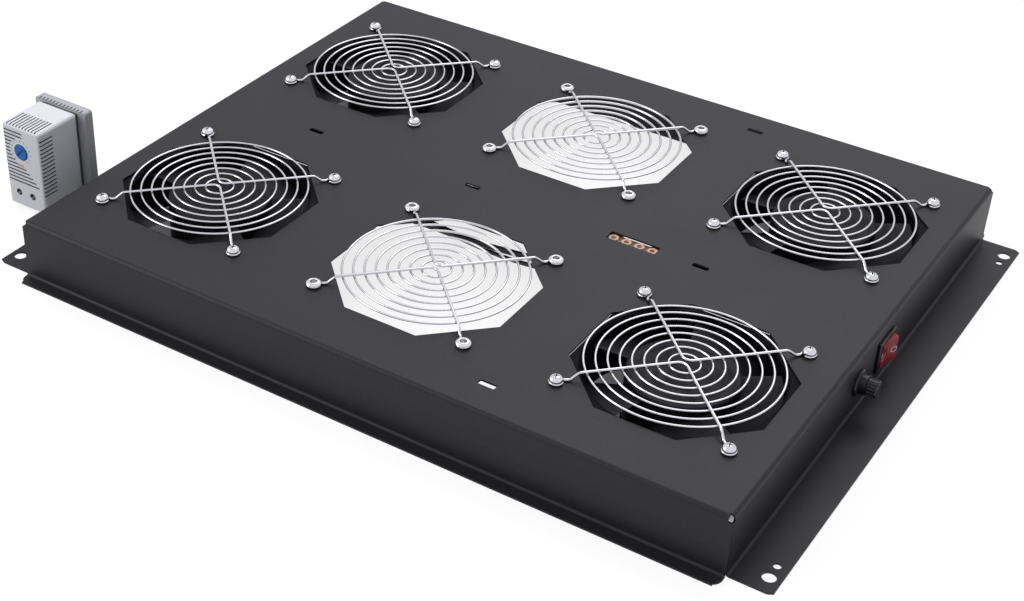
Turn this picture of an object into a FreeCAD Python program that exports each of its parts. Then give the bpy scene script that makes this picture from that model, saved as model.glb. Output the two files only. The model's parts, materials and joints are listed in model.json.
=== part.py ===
import FreeCAD, Part
import math
import os

V = FreeCAD.Vector
X = V(1, 0, 0)
Y = V(0, 1, 0)
Z = V(0, 0, 1)

# ---------------------------------------------------------------- driving dimensions, millimetres
# Tray: one folded sheet. Origin at the middle of its flange undersides, +X along the long side,
# -Y towards the front, +Z up.
tray_length = 486.0
tray_width = 396.0
tray_height = 41.0
sheet = 1.2
bend_inside = 1.8
side_flange = 26.0
end_flange = 9.0
side_flange_corner = 4.0
end_flange_corner = 7.0
corner_seam = 0.4
relief_depth = 1.0

# Cabinet fixing holes in the side flanges
cabinet_hole = 8.0
cabinet_hole_from_wall = 19.0
cabinet_hole_from_end = 13.0
register_hole = 4.5
register_hole_from_end = 23.0

# Fan positions: three columns by two rows, the middle column left free
column_pitch = 165.5
row_pitch = 198.0
opening_flats = 120.0
fan_fixing_pitch = 105.0

# Cable slots and the terminal window in the top
slot_length = 11.0
slot_width = 4.0
slot_corner = 1.0
corridor_slots = (-161.5, -36.5, 127.0)
row_slot_from_wall = 23.5
window_length = 34.0
window_width = 8.5
window_x = 80.5
window_y = 0.5

# Wire guard
ring_count = 8
ring_first_radius = 9.0
ring_step = 6.8
ring_wire = 1.6
arm_wire = 2.0
weld_bite = 0.25
guard_rise = 2.6
eyelet_radius = 3.7
arm_bend_radius = 5.0
arm_step_start = 66.0
arm_step_end = 61.0

# Fixings of the guards
screw_thread = 4.0
screw_head = 8.2
screw_head_height = 3.0
screw_reach = 13.0
screw_clearance = 0.5
crown_share = 0.6
nut_across_flats = 7.0
nut_height = 3.2
rivet_bore = 4.2
rivet_head = 9.4
rivet_head_height = 1.5
rivet_clearance = 0.15
rivet_tail = 7.6
rivet_tail_height = 1.4

# Fan
fan_size = 119.0
fan_depth = 38.0
fan_corner = 5.0
fan_flange = 4.5
fan_duct_bore = 115.6
fan_duct_wall = 1.6
fan_inlet_chamfer = 1.5
motor_plate = 33.0
motor_plate_height = 3.0
strut_width = 5.0
strut_height = 4.0
strut_count = 4
strut_bite = 2.0
bearing_seat = 8.0
bearing_tube = 12.0
bearing_tube_top_gap = 8.1
bearing_height = 4.0
shaft_diameter = 3.0
shaft_running_clearance = 0.03
shaft_floor_gap = 0.7
hub_radius = 33.0
hub_wall = 1.8
hub_top = 2.0
hub_recess = 1.5
hub_edge = 1.5
hub_floor_gap = 3.7
hub_boss = 4.2
hub_boss_height = 5.2
shaft_in_hub = 1.0
blade_count = 5
blade_tip_gap = 1.3
blade_thickness = 2.0
blade_root_width = 37.0
blade_tip_width = 50.0
blade_root_rise = 20.0
blade_tip_rise = 17.0
blade_sweep = 11.0
blade_top_gap = 4.0
stator_radius = 28.0
stator_poles = 6
stator_pole_width = 8.0
stator_pole_shoe = 3.5
stator_slot_gap = 4.0
stator_core_radius = 10.0
stator_height = 14.0
coil_width = 14.0
coil_overhang = 2.5
coil_start = 11.5
coil_end = 22.5
coil_corner = 2.0
lead_boss_width = 8.0
lead_boss_height = 6.0
lead_boss_offset = 25.0
lead_boss_z = 12.0

# Rocker switch in the right wall
control_height = 20.5
switch_y = 12.0
bezel_length = 24.0
bezel_width = 21.0
bezel_height = 2.0
switch_body_length = 21.6
switch_body_width = 18.6
switch_body_depth = 20.0
switch_hole_clearance = 0.2
rocker_well_length = 19.2
rocker_well_width = 16.6
rocker_well_depth = 13.5
rocker_radius = 9.5
rocker_width = 16.2
rocker_pivot_inset = 1.5
rocker_rise = 4.2
rocker_tilt = 13.0
rocker_skirt = 4.0
rocker_pin = 3.0
rocker_pin_reach = 0.7
rocker_pin_clearance = 0.05
snap_depth = 0.9
snap_length = 5.0
tab_width = 4.8
tab_thickness = 0.8
tab_length = 8.0
tab_pitch = 11.0
tab_row_pitch = 9.0

# Fuse holder in the right wall
fuse_y = -27.0
fuse_flange = 17.0
fuse_flange_height = 2.0
fuse_flange_edge = 0.8
fuse_barrel = 12.0
fuse_barrel_depth = 38.0
fuse_hole_clearance = 0.2
fuse_collar = 13.0
fuse_collar_height = 4.0
fuse_collar_bore = 10.2
fuse_bore = 7.8
fuse_bore_floor = 6.0
fuse_nut = 17.0
fuse_nut_height = 4.0
carrier_diameter = 7.4
carrier_bore = 5.4
carrier_end_gap = 2.0
carrier_head = 9.8
carrier_head_height = 1.5
carrier_seat_gap = 0.1
spigot_diameter = 4.0
spigot_height = 3.4
spigot_clearance = 0.05
cap_diameter = 11.0
cap_height = 6.3
cap_skirt_gap = 0.2
cap_edge = 0.6
cap_flutes = 16
flute_radius = 0.7
cap_slot_width = 1.4
cap_slot_depth = 1.3
fuse_link_diameter = 5.2
fuse_link_length = 20.0
fuse_link_cap = 5.0
fuse_glass_step = 0.3
solder_tag_width = 4.0
solder_tag_thickness = 0.8
solder_tag_length = 8.0

# Terminal block under the window
block_length = 40.0
block_width = 14.0
block_height = 14.0
block_ways = 4
block_pitch = 9.0
block_tower = 6.4
block_tower_drop = 2.5
block_entry = 4.2
block_entry_depth = 3.0
block_entry_height = 4.7
block_lead_in = 10.0
block_screw = 3.0
block_screw_drop = 4.0
block_screw_clearance = 0.2
block_screw_slot_width = 0.6
block_rail = 2.0

# Cable entries in the walls
grommet_y = -118.0
grommet_z = 14.0
grommet_hole = 9.5
grommet_rim = 13.0
grommet_rim_height = 1.6
grommet_bore = 5.4
grommet_slack = 0.2
grommet_lead_in = 9.0
gland_x = 150.0
gland_z = 20.0
gland_thread = 12.0
gland_hex = 16.0
gland_hex_height = 5.0
gland_dome = 14.0
gland_dome_height = 10.0
gland_dome_mouth = 9.0
gland_bore = 7.0
gland_nut_height = 4.0
gland_thread_reach = 7.0
gland_clearance = 0.2
stud_x = -150.0
stud_thread = 4.0
stud_length = 12.0
stud_flange = 8.0
stud_flange_height = 1.0

# Wiring. Points of the slack between the ends, laid by hand.
lead_diameter = 2.2
fan_lead_diameter = 4.0
fuse_lead_in = 9.0
tab_lead_in = 9.0
lead_on_floor = 1.5
lead_1_slack = [(-295, -124, 1.4), (-283, -114, 1.5), (-271, -110.5, 4), (-261, -112, 9.5)]
lead_2_slack = [(-281, -140, 1.5), (-270, -134.5, 3.2), (-261, -127, 9)]
tail_corner = [(-226, -104, 12), (-228, -78, 13), (-226, -42, 12)]
tail_corridor = [
    (-207, -24, 12), (-160, -20, 14), (-105, -23, 12), (-50, -19, 13), (5, -23, 12), (47, -20, 15),
]
tail_spacing = 3.0
left_fan_slack = [(-102.5, 30, 17), (-58, 28, 19), (-16, 31, 18), (25, 28, 20)]
front_left_lift = 4.0
switch_slack = [(172, 17, 22), (130, 18, 21)]

# Thermostat, standing beside the left flange
thermostat_x = -295.5
thermostat_front_y = -142.0
thermostat_width = 33.0
thermostat_depth = 36.0
thermostat_height = 60.0
thermostat_lift = 4.0
thermostat_edge = 2.4
neck_inset = 1.5
neck_depth = 2.0
base_width = 44.0
base_depth = 7.0
base_height = 64.5
base_corner = 2.0
rail_channel_height = 35.3
rail_channel_depth = 3.0
rail_channel_z = 15.0
rail_hook_width = 30.0
rail_hook_height = 5.0
rail_hook_lip = 1.5
rail_hook_reach = 1.5
rail_guide_height = 9.0
clip_width = 16.0
clip_reach = 0.8
clip_bottom = 4.0
clip_recess_depth = 2.6
clip_flange = 1.2
clip_flange_depth = 1.2
clip_gap = 0.1
base_notch_count = 13
base_notch_width = 1.4
base_notch_depth = 1.2
base_notch_reach = 2.5
dial_diameter = 11.0
dial_height = 1.6
dial_x_offset = -1.2
dial_z = 45.5
dial_recess = 0.8
dial_gap = 0.4
dial_floor_gap = 0.1
dial_edge = 0.5
dial_slot_angle = -45.0
dial_shaft = 4.0
dial_shaft_length = 6.0
dial_shaft_clearance = 0.05
dial_slot_width = 1.2
dial_slot_length = 8.0
dial_slot_depth = 1.0
front_groove_count = 15
front_groove_pitch = 2.65
front_groove_top = 59.3
groove_width = 1.0
groove_depth = 0.8
groove_inset = 1.0
scale_clear_radius = 9.6
groove_diagonal_start = 2.0
groove_diagonal_step = 2.6
top_groove_count = 10
top_groove_pitch = 2.7
top_groove_length = 17.0
side_groove_count = 15
side_groove_pitch = 2.9
side_groove_length = 12.0
side_groove_top = 58.0
terminal_hole = 4.8
terminal_hole_depth = 6.0
terminal_pitch = 12.0
terminal_shift = -1.0
terminal_z = 13.6
terminal_screw_head = 4.4
terminal_screw_height = 2.0
terminal_screw_slot = 0.8
terminal_slot_angle = 30.0
entry_hole = 2.8
entry_depth = 5.0
entry_y_offset = 7.0

# ---------------------------------------------------------------- derived places
bend_outside = bend_inside + sheet
half_length = tray_length / 2
half_width = tray_width / 2
plate_under = tray_height - sheet
wall_in = half_length - sheet
fan_floor = plate_under - fan_depth
rivet_body = 2 * (eyelet_radius - rivet_clearance) - arm_wire
COLUMNS = {"left": -column_pitch, "middle": 0.0, "right": column_pitch}
ROWS = {"front": -row_pitch / 2, "rear": row_pitch / 2}
FANS = [(row, col) for row in ROWS for col in ("left", "right")]
SPARE = [(row, "middle") for row in ROWS]
row_slot_y = half_width - row_slot_from_wall
SLOTS = [(x, 0.0) for x in corridor_slots] + [(column_pitch / 2, y) for y in (row_slot_y, -row_slot_y)]
GROMMET = V(-half_length, grommet_y, grommet_z)
THERMOSTAT_BACK = thermostat_front_y + thermostat_depth
THERMOSTAT_TOP = thermostat_lift + thermostat_height


# ---------------------------------------------------------------- small helpers
def box(x0, x1, y0, y1, z0, z1):
    """Block between two corners, given as low and high values per axis."""
    return Part.makeBox(x1 - x0, y1 - y0, z1 - z0, V(x0, y0, z0))


def rod(diameter, start, end):
    """Round bar from one point to another."""
    run = end.sub(start)
    return Part.makeCylinder(diameter / 2, run.Length, start, run)


def tube(outer, inner, start, end):
    """Round tube from one point to another."""
    return rod(outer, start, end).cut(rod(inner, start, end))


def polygon(points):
    """Closed flat outline through the points."""
    return Part.Wire(Part.makePolygon(points + [points[0]]).Edges)


def prism(points, along):
    """Flat outline pushed along a vector."""
    return Part.Face(polygon(points)).extrude(along)


def hexagon(across_flats, low, high):
    """Hexagonal prism standing on the axis between two points, both along +Z, -Z, +Y or X."""
    axis = high.sub(low)
    radius = across_flats / 2 / math.cos(math.pi / 6)
    corner = V(radius, 0, 0) if abs(axis.x) < 1e-9 else V(0, radius, 0)
    turn = [FreeCAD.Rotation(axis, 60 * i).multVec(corner) for i in range(6)]
    return prism([low.add(c) for c in turn], axis)


def spun(shape, centre, axis, count):
    """Copies of a shape evenly turned about an axis."""
    copies = []
    for i in range(count):
        copy = shape.copy()
        copy.rotate(centre, axis, 360.0 * i / count)
        copies.append(copy)
    return copies


def at_fan(row, col):
    """Centre of a fan position, at table height."""
    return V(COLUMNS[col], ROWS[row], 0)


def fixing_points(row, col):
    """The four fixing points round a fan position, at table height."""
    h = fan_fixing_pitch / 2
    centre = at_fan(row, col)
    return [centre.add(V(sx * h, sy * h, 0)) for sx in (-1, 1) for sy in (-1, 1)]


def cord(points, diameter):
    """Tube whose axis is straight runs joined by the largest tangent arcs that the runs allow."""
    edges = []
    radii = []
    last = points[0]
    for before, corner, after in zip(points, points[1:], points[2:]):
        u = before.sub(corner).normalize()
        w = after.sub(corner).normalize()
        half_turn = (math.pi - u.getAngle(w)) / 2
        reach = 0.45 * min(corner.sub(before).Length, after.sub(corner).Length)
        radius = reach / math.tan(half_turn)
        radii.append(round(radius, 1))
        start = corner.add(u * reach)
        end = corner.add(w * reach)
        inward = u.add(w).normalize()
        middle = corner.add(inward * (radius / math.cos(half_turn) - radius))
        edges.append(Part.makeLine(last, start))
        edges.append(Part.Arc(start, middle, end).toShape())
        last = end
    edges.append(Part.makeLine(last, points[-1]))
    path = Part.Wire(edges)
    section = Part.Wire(Part.makeCircle(diameter / 2, points[0], points[1].sub(points[0])))
    solid = path.makePipeShell([section], True, False)
    share = solid.Volume / (math.pi * diameter**2 / 4 * path.Length)
    print("cord radii", radii, "length", round(path.Length, 1), "volume share", round(share, 4))
    return solid


def write(name, shapes):
    """Saves one named sub-part, a single solid or a group of separate solids."""
    group = shapes if isinstance(shapes, list) else [shapes]
    solids = [solid for shape in group for solid in shape.Solids]
    result = solids[0] if len(solids) == 1 else Part.makeCompound(solids)
    result.exportStep("parts/" + name + ".step")


# ---------------------------------------------------------------- tray
def fold_section(half, flange):
    """Outline of one folded edge: top bend, wall, bottom bend and flange; u outward, z up."""
    top_centre = (half - bend_outside, tray_height - bend_outside)
    low_centre = (half + bend_inside, sheet + bend_inside)
    diagonal = math.sqrt(0.5)

    def arc(centre, radius, start, middle, end):
        points = [(centre[0] + radius * c, centre[1] + radius * s) for c, s in (start, middle, end)]
        return Part.Arc(*[V(u, 0, z) for u, z in points]).toShape()

    def line(a, b):
        return Part.makeLine(V(a[0], 0, a[1]), V(b[0], 0, b[1]))

    ne = (diagonal, diagonal)
    sw = (-diagonal, -diagonal)
    inner_wall = half - sheet
    return Part.Wire([
        arc(top_centre, bend_outside, (0, 1), ne, (1, 0)),
        line((half, tray_height - bend_outside), (half, sheet + bend_inside)),
        arc(low_centre, bend_inside, (-1, 0), sw, (0, -1)),
        line((half + bend_inside, sheet), (half + flange, sheet)),
        line((half + flange, sheet), (half + flange, 0)),
        line((half + flange, 0), (half + bend_inside, 0)),
        arc(low_centre, bend_outside, (0, -1), sw, (-1, 0)),
        line((inner_wall, sheet + bend_inside), (inner_wall, tray_height - bend_outside)),
        arc(top_centre, bend_inside, (1, 0), ne, (0, 1)),
        line((half - bend_outside, plate_under), (half - bend_outside, tray_height)),
    ])


def folded_edge(half, flange, bend_half, wall_half, corner):
    """One folded edge on the +X side: the wall runs past the top bend, with a relief between."""
    face = Part.Face(fold_section(half, flange))
    strip = face.copy()
    strip.translate(V(0, -bend_half, 0))
    strip = strip.extrude(V(0, 2 * bend_half, 0))
    lower = face.copy()
    lower.translate(V(0, -wall_half, 0))
    lower = lower.extrude(V(0, 2 * wall_half, 0))
    relief = tray_height - bend_outside - relief_depth
    lower = lower.cut(box(0, half + 1, -wall_half - 1, wall_half + 1, relief, tray_height + 1))
    corners = [e for e in lower.Edges if is_flange_corner(e, half + flange)]
    return strip.fuse(lower.makeFillet(corner, corners)).removeSplitter()


def is_flange_corner(edge, outer):
    """True for the short upright edges at a flange's outer corners."""
    box_ = edge.BoundBox
    upright = box_.ZLength > sheet * 0.9 and box_.XLength < 1e-6 and box_.YLength < 1e-6
    return upright and abs(box_.XMax - outer) < 1e-6


def octagon(centre):
    """Through-cut of one fan opening."""
    radius = opening_flats / 2 / math.cos(math.pi / 8)
    points = []
    for i in range(8):
        angle = math.pi / 8 + i * math.pi / 4
        points.append(centre.add(V(radius * math.cos(angle), radius * math.sin(angle), plate_under - 1)))
    return prism(points, Z * (sheet + 2))


def rounded_slot(x, y, length, width, corner):
    """Rectangular through-cut in the top with rounded corners."""
    h, w = length / 2, width / 2
    cut = box(x - h, x + h, y - w, y + w, plate_under - 1, tray_height + 1)
    upright = [e for e in cut.Edges if e.BoundBox.ZLength > sheet]
    return cut.makeFillet(corner, upright)


def tray_panel():
    """The folded and punched sheet-metal tray."""
    flat_x = half_length - bend_outside
    flat_y = half_width - bend_outside
    body = box(-flat_x, flat_x, -flat_y, flat_y, plate_under, tray_height)
    side_wall_half = half_width - sheet - corner_seam
    side = folded_edge(half_length, side_flange, flat_y, side_wall_half, side_flange_corner)
    end = folded_edge(half_width, end_flange, flat_x, half_length, end_flange_corner)
    for shape, turn in ((side, 0), (side, 180), (end, 90), (end, 270)):
        copy = shape.copy()
        copy.rotate(V(0, 0, 0), Z, turn)
        body = body.fuse(copy)
    cuts = [octagon(at_fan(row, col)) for row in ROWS for col in COLUMNS]
    low, high = Z * (plate_under - 1), Z * (tray_height + 1)
    for row, col in FANS:
        for p in fixing_points(row, col):
            cuts.append(rod(screw_thread + screw_clearance, p.add(low), p.add(high)))
    for row, col in SPARE:
        for p in fixing_points(row, col):
            cuts.append(rod(rivet_body + 2 * rivet_clearance, p.add(low), p.add(high)))
    cuts += [rounded_slot(x, y, slot_length, slot_width, slot_corner) for x, y in SLOTS]
    cuts.append(rounded_slot(window_x, window_y, window_length, window_width, slot_corner))
    for sx in (-1, 1):
        for sy in (-1, 1):
            x = sx * (half_length + cabinet_hole_from_wall)
            for diameter, inset in ((cabinet_hole, cabinet_hole_from_end),
                                    (register_hole, register_hole_from_end)):
                y = sy * (half_width - inset)
                cuts.append(rod(diameter, V(x, y, -1), V(x, y, sheet + 1)))
    hl = switch_body_length / 2 + switch_hole_clearance
    hw = switch_body_width / 2 + switch_hole_clearance
    cuts.append(box(wall_in - 1, half_length + 1, switch_y - hl, switch_y + hl,
                    control_height - hw, control_height + hw))
    across = X * (sheet + 2)
    inside = V(wall_in - 1, fuse_y, control_height)
    cuts.append(rod(fuse_barrel + 2 * fuse_hole_clearance, inside, inside.add(across)))
    outside = GROMMET.sub(X)
    cuts.append(rod(grommet_hole, outside, outside.add(across)))
    back = V(gland_x, half_width - sheet - 1, gland_z)
    cuts.append(rod(gland_thread + 2 * gland_clearance, back, back.add(Y * (sheet + 2))))
    return body.cut(cuts).removeSplitter()


# ---------------------------------------------------------------- wire guard
def guard_arm_wire(side):
    """One bent wire: out of one eyelet, over the rings to the middle and back to the next eyelet."""
    low = tray_height + arm_wire / 2
    high = tray_height + guard_rise + ring_wire + arm_wire / 2 - weld_bite
    eyelet = fan_fixing_pitch / math.sqrt(2)
    out = math.sqrt(0.5)

    def ray(sx, radius, z):
        return V(sx * out * radius, side * out * radius, z)

    reach = arm_bend_radius
    corners = [(eyelet - eyelet_radius, low), (arm_step_start, low), (arm_step_end, high), (reach, high)]
    first = [ray(-1, radius, z) for radius, z in corners]
    last = [ray(1, radius, z) for radius, z in reversed(corners)]
    # The two straight halves leave the bend at 90 degrees, so its arc has the reach as radius.
    tip = V(0, side * reach * (math.sqrt(2) - 1), high)
    edges = [Part.makeLine(a, b) for a, b in zip(first, first[1:])]
    edges.append(Part.Arc(first[-1], tip, last[0]).toShape())
    edges += [Part.makeLine(a, b) for a, b in zip(last, last[1:])]
    section = Part.Wire(Part.makeCircle(arm_wire / 2, first[0], first[1].sub(first[0])))
    whole = Part.Wire(edges).makePipeShell([section], True, False, 1)
    for sx in (-1, 1):
        foot = V(sx * fan_fixing_pitch / 2, side * fan_fixing_pitch / 2, tray_height)
        whole = whole.fuse(flat_ring(eyelet_radius, arm_wire, foot))
    return whole


def flat_ring(radius, wire, foot):
    """Ring about the Z axis with the wire's width and height, standing on its foot point."""
    return tube(2 * radius + wire, 2 * radius - wire, foot, foot.add(Z * wire))


def guard_rings(arms):
    """Rings of one guard, in one plane about the origin, each sunk a little where the arms are welded."""
    foot = V(0, 0, tray_height + guard_rise)
    radii = [ring_first_radius + i * ring_step for i in range(ring_count)]
    return [flat_ring(radius, ring_wire, foot).cut(arms) for radius in radii]


# ---------------------------------------------------------------- fixings
def crowned_head(diameter, height, foot):
    """Head of a screw or rivet: an upright rim with a sloping crown."""
    crown = height * crown_share
    rim = Part.makeCylinder(diameter / 2, height - crown, foot)
    slope = Part.makeCone(diameter / 2, diameter / 2 - crown, crown, foot.add(Z * (height - crown)))
    return rim.fuse(slope)


def fan_screw(p):
    """Pan-head screw through a guard eyelet."""
    seat = p.add(Z * (tray_height + arm_wire))
    shank = rod(screw_thread, seat.sub(Z * screw_reach), seat)
    return crowned_head(screw_head, screw_head_height, seat).fuse(shank)


def fan_nut(p):
    """Hexagon nut under the fan's upper flange."""
    top = plate_under - fan_flange
    nut = hexagon(nut_across_flats, p.add(Z * (top - nut_height)), p.add(Z * top))
    return nut.cut(rod(screw_thread, p.add(Z * (top - nut_height - 1)), p.add(Z * (top + 1))))


def guard_rivet(p):
    """Hollow rivet that holds a guard where no fan is fitted and leaves a hole for its screw."""
    seat = p.add(Z * (tray_height + arm_wire))
    under = p.add(Z * plate_under)
    body = rod(rivet_body, under, seat)
    tail = rod(rivet_tail, under.sub(Z * rivet_tail_height), under)
    rivet = crowned_head(rivet_head, rivet_head_height, seat).fuse(body).fuse(tail)
    low = under.sub(Z * (rivet_tail_height + 1))
    return rivet.cut(rod(rivet_bore, low, seat.add(Z * (rivet_head_height + 1))))


# ---------------------------------------------------------------- fan, centred on the Z axis
def rounded_square(size, z0, z1):
    """Square plate with rounded upright corners."""
    h = size / 2
    plate = box(-h, h, -h, h, z0, z1)
    upright = [e for e in plate.Edges if e.BoundBox.ZLength > (z1 - z0) * 0.9]
    return plate.makeFillet(fan_corner, upright)


def fan_frame(lead_x, lead_y):
    """Die-cast frame: two square flanges on a round duct, with struts and the motor seat."""
    top = plate_under
    duct = Part.makeCylinder(fan_duct_bore / 2 + fan_duct_wall, fan_depth, V(0, 0, fan_floor))
    frame = duct.common(rounded_square(fan_size, fan_floor, top))
    frame = frame.fuse(rounded_square(fan_size, fan_floor, fan_floor + fan_flange))
    frame = frame.fuse(rounded_square(fan_size, top - fan_flange, top))
    side = fan_size / 2
    boss_x = sorted((lead_x - lead_boss_width / 2, lead_x + lead_boss_width / 2))
    boss_y = sorted((0.0, lead_y * side))
    frame = frame.fuse(box(boss_x[0], boss_x[1], boss_y[0], boss_y[1],
                           lead_boss_z - lead_boss_height / 2, lead_boss_z + lead_boss_height / 2))
    cuts = [Part.makeCylinder(fan_duct_bore / 2, fan_depth + 2, V(0, 0, fan_floor - 1))]
    flare = fan_duct_bore / 2 + fan_inlet_chamfer
    cuts.append(Part.makeCone(fan_duct_bore / 2, flare, fan_inlet_chamfer, V(0, 0, top - fan_inlet_chamfer)))
    cuts.append(Part.makeCone(flare, fan_duct_bore / 2, fan_inlet_chamfer, V(0, 0, fan_floor)))
    h = fan_fixing_pitch / 2
    for sx in (-1, 1):
        for sy in (-1, 1):
            p = V(sx * h, sy * h, fan_floor - 1)
            cuts.append(rod(screw_thread + screw_clearance, p, p.add(Z * (fan_depth + 2))))
    frame = frame.cut(cuts)
    plate = Part.makeCylinder(motor_plate, motor_plate_height, V(0, 0, fan_floor))
    reach = fan_duct_bore / 2 + fan_duct_wall / 2
    half = strut_width / 2
    strut = box(motor_plate - strut_bite, reach, -half, half, fan_floor, fan_floor + strut_height)
    strut.rotate(V(0, 0, 0), Z, 45)
    seat_low = fan_floor + motor_plate_height
    seat_high = plate_under - hub_recess - bearing_tube_top_gap
    seat = tube(bearing_tube, bearing_seat, V(0, 0, seat_low), V(0, 0, seat_high))
    for piece in spun(strut, V(0, 0, 0), Z, strut_count) + [plate, seat]:
        frame = frame.fuse(piece)
    return frame.removeSplitter()


def blade_section(radius, width, rise, lead, sweep):
    """Cambered blade outline on a plane square to the radius; it climbs from one edge to the other."""
    half = width / 2
    camber = rise * 0.12
    upper = []
    lower = []
    for t in (-1.0, -0.5, 0.0, 0.5, 1.0):
        thick = blade_thickness / 2 * (1 - 0.7 * t * t)
        mid = rise / 2 * t + camber * (1 - t * t)
        upper.append(V(radius, t * half + sweep, lead + mid + thick))
        lower.append(V(radius, t * half + sweep, lead + mid - thick))
    return polygon(upper + lower[::-1])


def impeller():
    """Moulded fan wheel: a cup-shaped hub with swept blades."""
    top = plate_under - hub_recess
    floor = fan_floor + motor_plate_height + hub_floor_gap
    cup = Part.makeCylinder(hub_radius, top - floor, V(0, 0, floor))
    rim = [e for e in cup.Edges if abs(e.BoundBox.ZMin - top) < 1e-6]
    cup = cup.makeChamfer(hub_edge, rim)
    inside = Part.makeCylinder(hub_radius - hub_wall, top - hub_top - floor, V(0, 0, floor))
    middle = top - blade_top_gap - blade_root_rise / 2
    tip = fan_duct_bore / 2 - blade_tip_gap
    sections = []
    for share in (0.0, 0.5, 1.0):
        radius = hub_radius * 0.8 + share * (tip + 4 - hub_radius * 0.8)
        width = blade_root_width + share * (blade_tip_width - blade_root_width)
        rise = blade_root_rise + share * (blade_tip_rise - blade_root_rise)
        sections.append(blade_section(radius, width, rise, middle, blade_sweep * share))
    blade = Part.makeLoft(sections, True, False)
    blade = blade.common(Part.makeCylinder(tip, fan_depth, V(0, 0, fan_floor)))
    wheel = cup
    for copy in spun(blade, V(0, 0, 0), Z, blade_count):
        wheel = wheel.fuse(copy)
    wheel = wheel.cut(inside)
    boss_low = V(0, 0, top - hub_top - hub_boss_height)
    boss = tube(hub_boss * 2, shaft_diameter, boss_low, V(0, 0, top - hub_top))
    bore = rod(shaft_diameter, boss_low, V(0, 0, top - hub_top + shaft_in_hub))
    return wheel.fuse(boss).cut(bore)


def fan_shaft():
    """Steel shaft pressed in the hub and running in the two bearings."""
    low = fan_floor + motor_plate_height + shaft_floor_gap
    high = plate_under - hub_recess - hub_top + shaft_in_hub
    return rod(shaft_diameter, V(0, 0, low), V(0, 0, high))


def fan_bearings():
    """Two plain bearings in the motor's centre tube."""
    low = fan_floor + motor_plate_height + 2 * shaft_floor_gap
    high = plate_under - hub_recess - bearing_tube_top_gap
    bore = shaft_diameter + 2 * shaft_running_clearance
    feet = [V(0, 0, low), V(0, 0, high - bearing_height)]
    return [tube(bearing_seat, bore, foot, foot.add(Z * bearing_height)) for foot in feet]


def fan_stator():
    """Wound stator: pole arms with coils on a ring round the centre tube."""
    low = fan_floor + motor_plate_height + hub_floor_gap + coil_overhang
    high = low + stator_height
    core = Part.makeCylinder(stator_core_radius, stator_height, V(0, 0, low))
    shoe = tube(2 * stator_radius, 2 * (stator_radius - stator_pole_shoe), V(0, 0, low), V(0, 0, high))
    gap = box(0, stator_radius + 1, -stator_slot_gap / 2, stator_slot_gap / 2, low - 1, high + 1)
    gap.rotate(V(0, 0, 0), Z, 180.0 / stator_poles)
    shoe = shoe.cut(spun(gap, V(0, 0, 0), Z, stator_poles))
    half_pole = stator_pole_width / 2
    arm = box(0, stator_radius - stator_pole_shoe / 2, -half_pole, half_pole, low, high)
    half_coil = coil_width / 2
    coil = box(coil_start, coil_end, -half_coil, half_coil, low - coil_overhang, high + coil_overhang)
    upright = [e for e in coil.Edges if e.BoundBox.ZLength > stator_height]
    coil = coil.makeFillet(coil_corner, upright)
    whole = core.fuse(shoe)
    for piece in spun(arm, V(0, 0, 0), Z, stator_poles) + spun(coil, V(0, 0, 0), Z, stator_poles):
        whole = whole.fuse(piece)
    bore = rod(bearing_tube, V(0, 0, low - coil_overhang - 1), V(0, 0, high + coil_overhang + 1))
    return whole.cut(bore).removeSplitter()


# ---------------------------------------------------------------- rocker switch, facing +X
def switch_pivot():
    """Centre of the rocker's hinge."""
    return V(half_length - rocker_pivot_inset, switch_y, control_height)


def centred(x0, x1, length, width):
    """Block round the switch axis: along X from x0 to x1, length along Y and width along Z."""
    return box(x0, x1, switch_y - length / 2, switch_y + length / 2,
               control_height - width / 2, control_height + width / 2)


def switch_housing():
    """Switch body with its bezel, rocker well, snap wedges and pivot holes."""
    face = half_length + bezel_height
    bezel = centred(half_length, face, bezel_length, bezel_width)
    rim = [e for e in bezel.Edges if e.BoundBox.XMin > face - 1e-6]
    bezel = bezel.makeFillet(bezel_height * 0.45, rim)
    body = centred(half_length - switch_body_depth, half_length, switch_body_length, switch_body_width)
    housing = bezel.fuse(body)
    for sy in (-1, 1):
        y = switch_y + sy * switch_body_length / 2
        wedge = [V(wall_in, y, 0), V(wall_in, y + sy * snap_depth, 0), V(wall_in - 6, y, 0)]
        low = V(0, 0, control_height - snap_length / 2)
        housing = housing.fuse(prism([p.add(low) for p in wedge], Z * snap_length))
    well = centred(face - rocker_well_depth, face + 1, rocker_well_length, rocker_well_width)
    pivot = switch_pivot()
    reach = Z * (rocker_width / 2 + rocker_pin_reach + rocker_pin_clearance)
    pins = rod(rocker_pin + 2 * rocker_pin_clearance, pivot.sub(reach), pivot.add(reach))
    return housing.cut([well, pins])


def switch_rocker():
    """Two-way rocker, stored with its rear half raised."""
    pivot = switch_pivot()
    climb = rocker_radius * math.tan(math.radians(rocker_tilt))
    outline = [
        V(-rocker_skirt, -rocker_radius, 0),
        V(rocker_rise + climb, -rocker_radius, 0),
        V(rocker_rise, 0, 0),
        V(rocker_rise + climb, rocker_radius, 0),
        V(-rocker_skirt, rocker_radius, 0),
    ]
    low = pivot.sub(Z * (rocker_width / 2))
    wedge = prism([p.add(low) for p in outline], Z * rocker_width)
    drum = Part.makeCylinder(rocker_radius, rocker_width, low)
    pin = rocker_width / 2 + rocker_pin_reach
    pins = rod(rocker_pin, pivot.sub(Z * pin), pivot.add(Z * pin))
    rocker = wedge.common(drum).fuse(pins)
    rocker.rotate(pivot, Z, -rocker_tilt)
    return rocker


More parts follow.
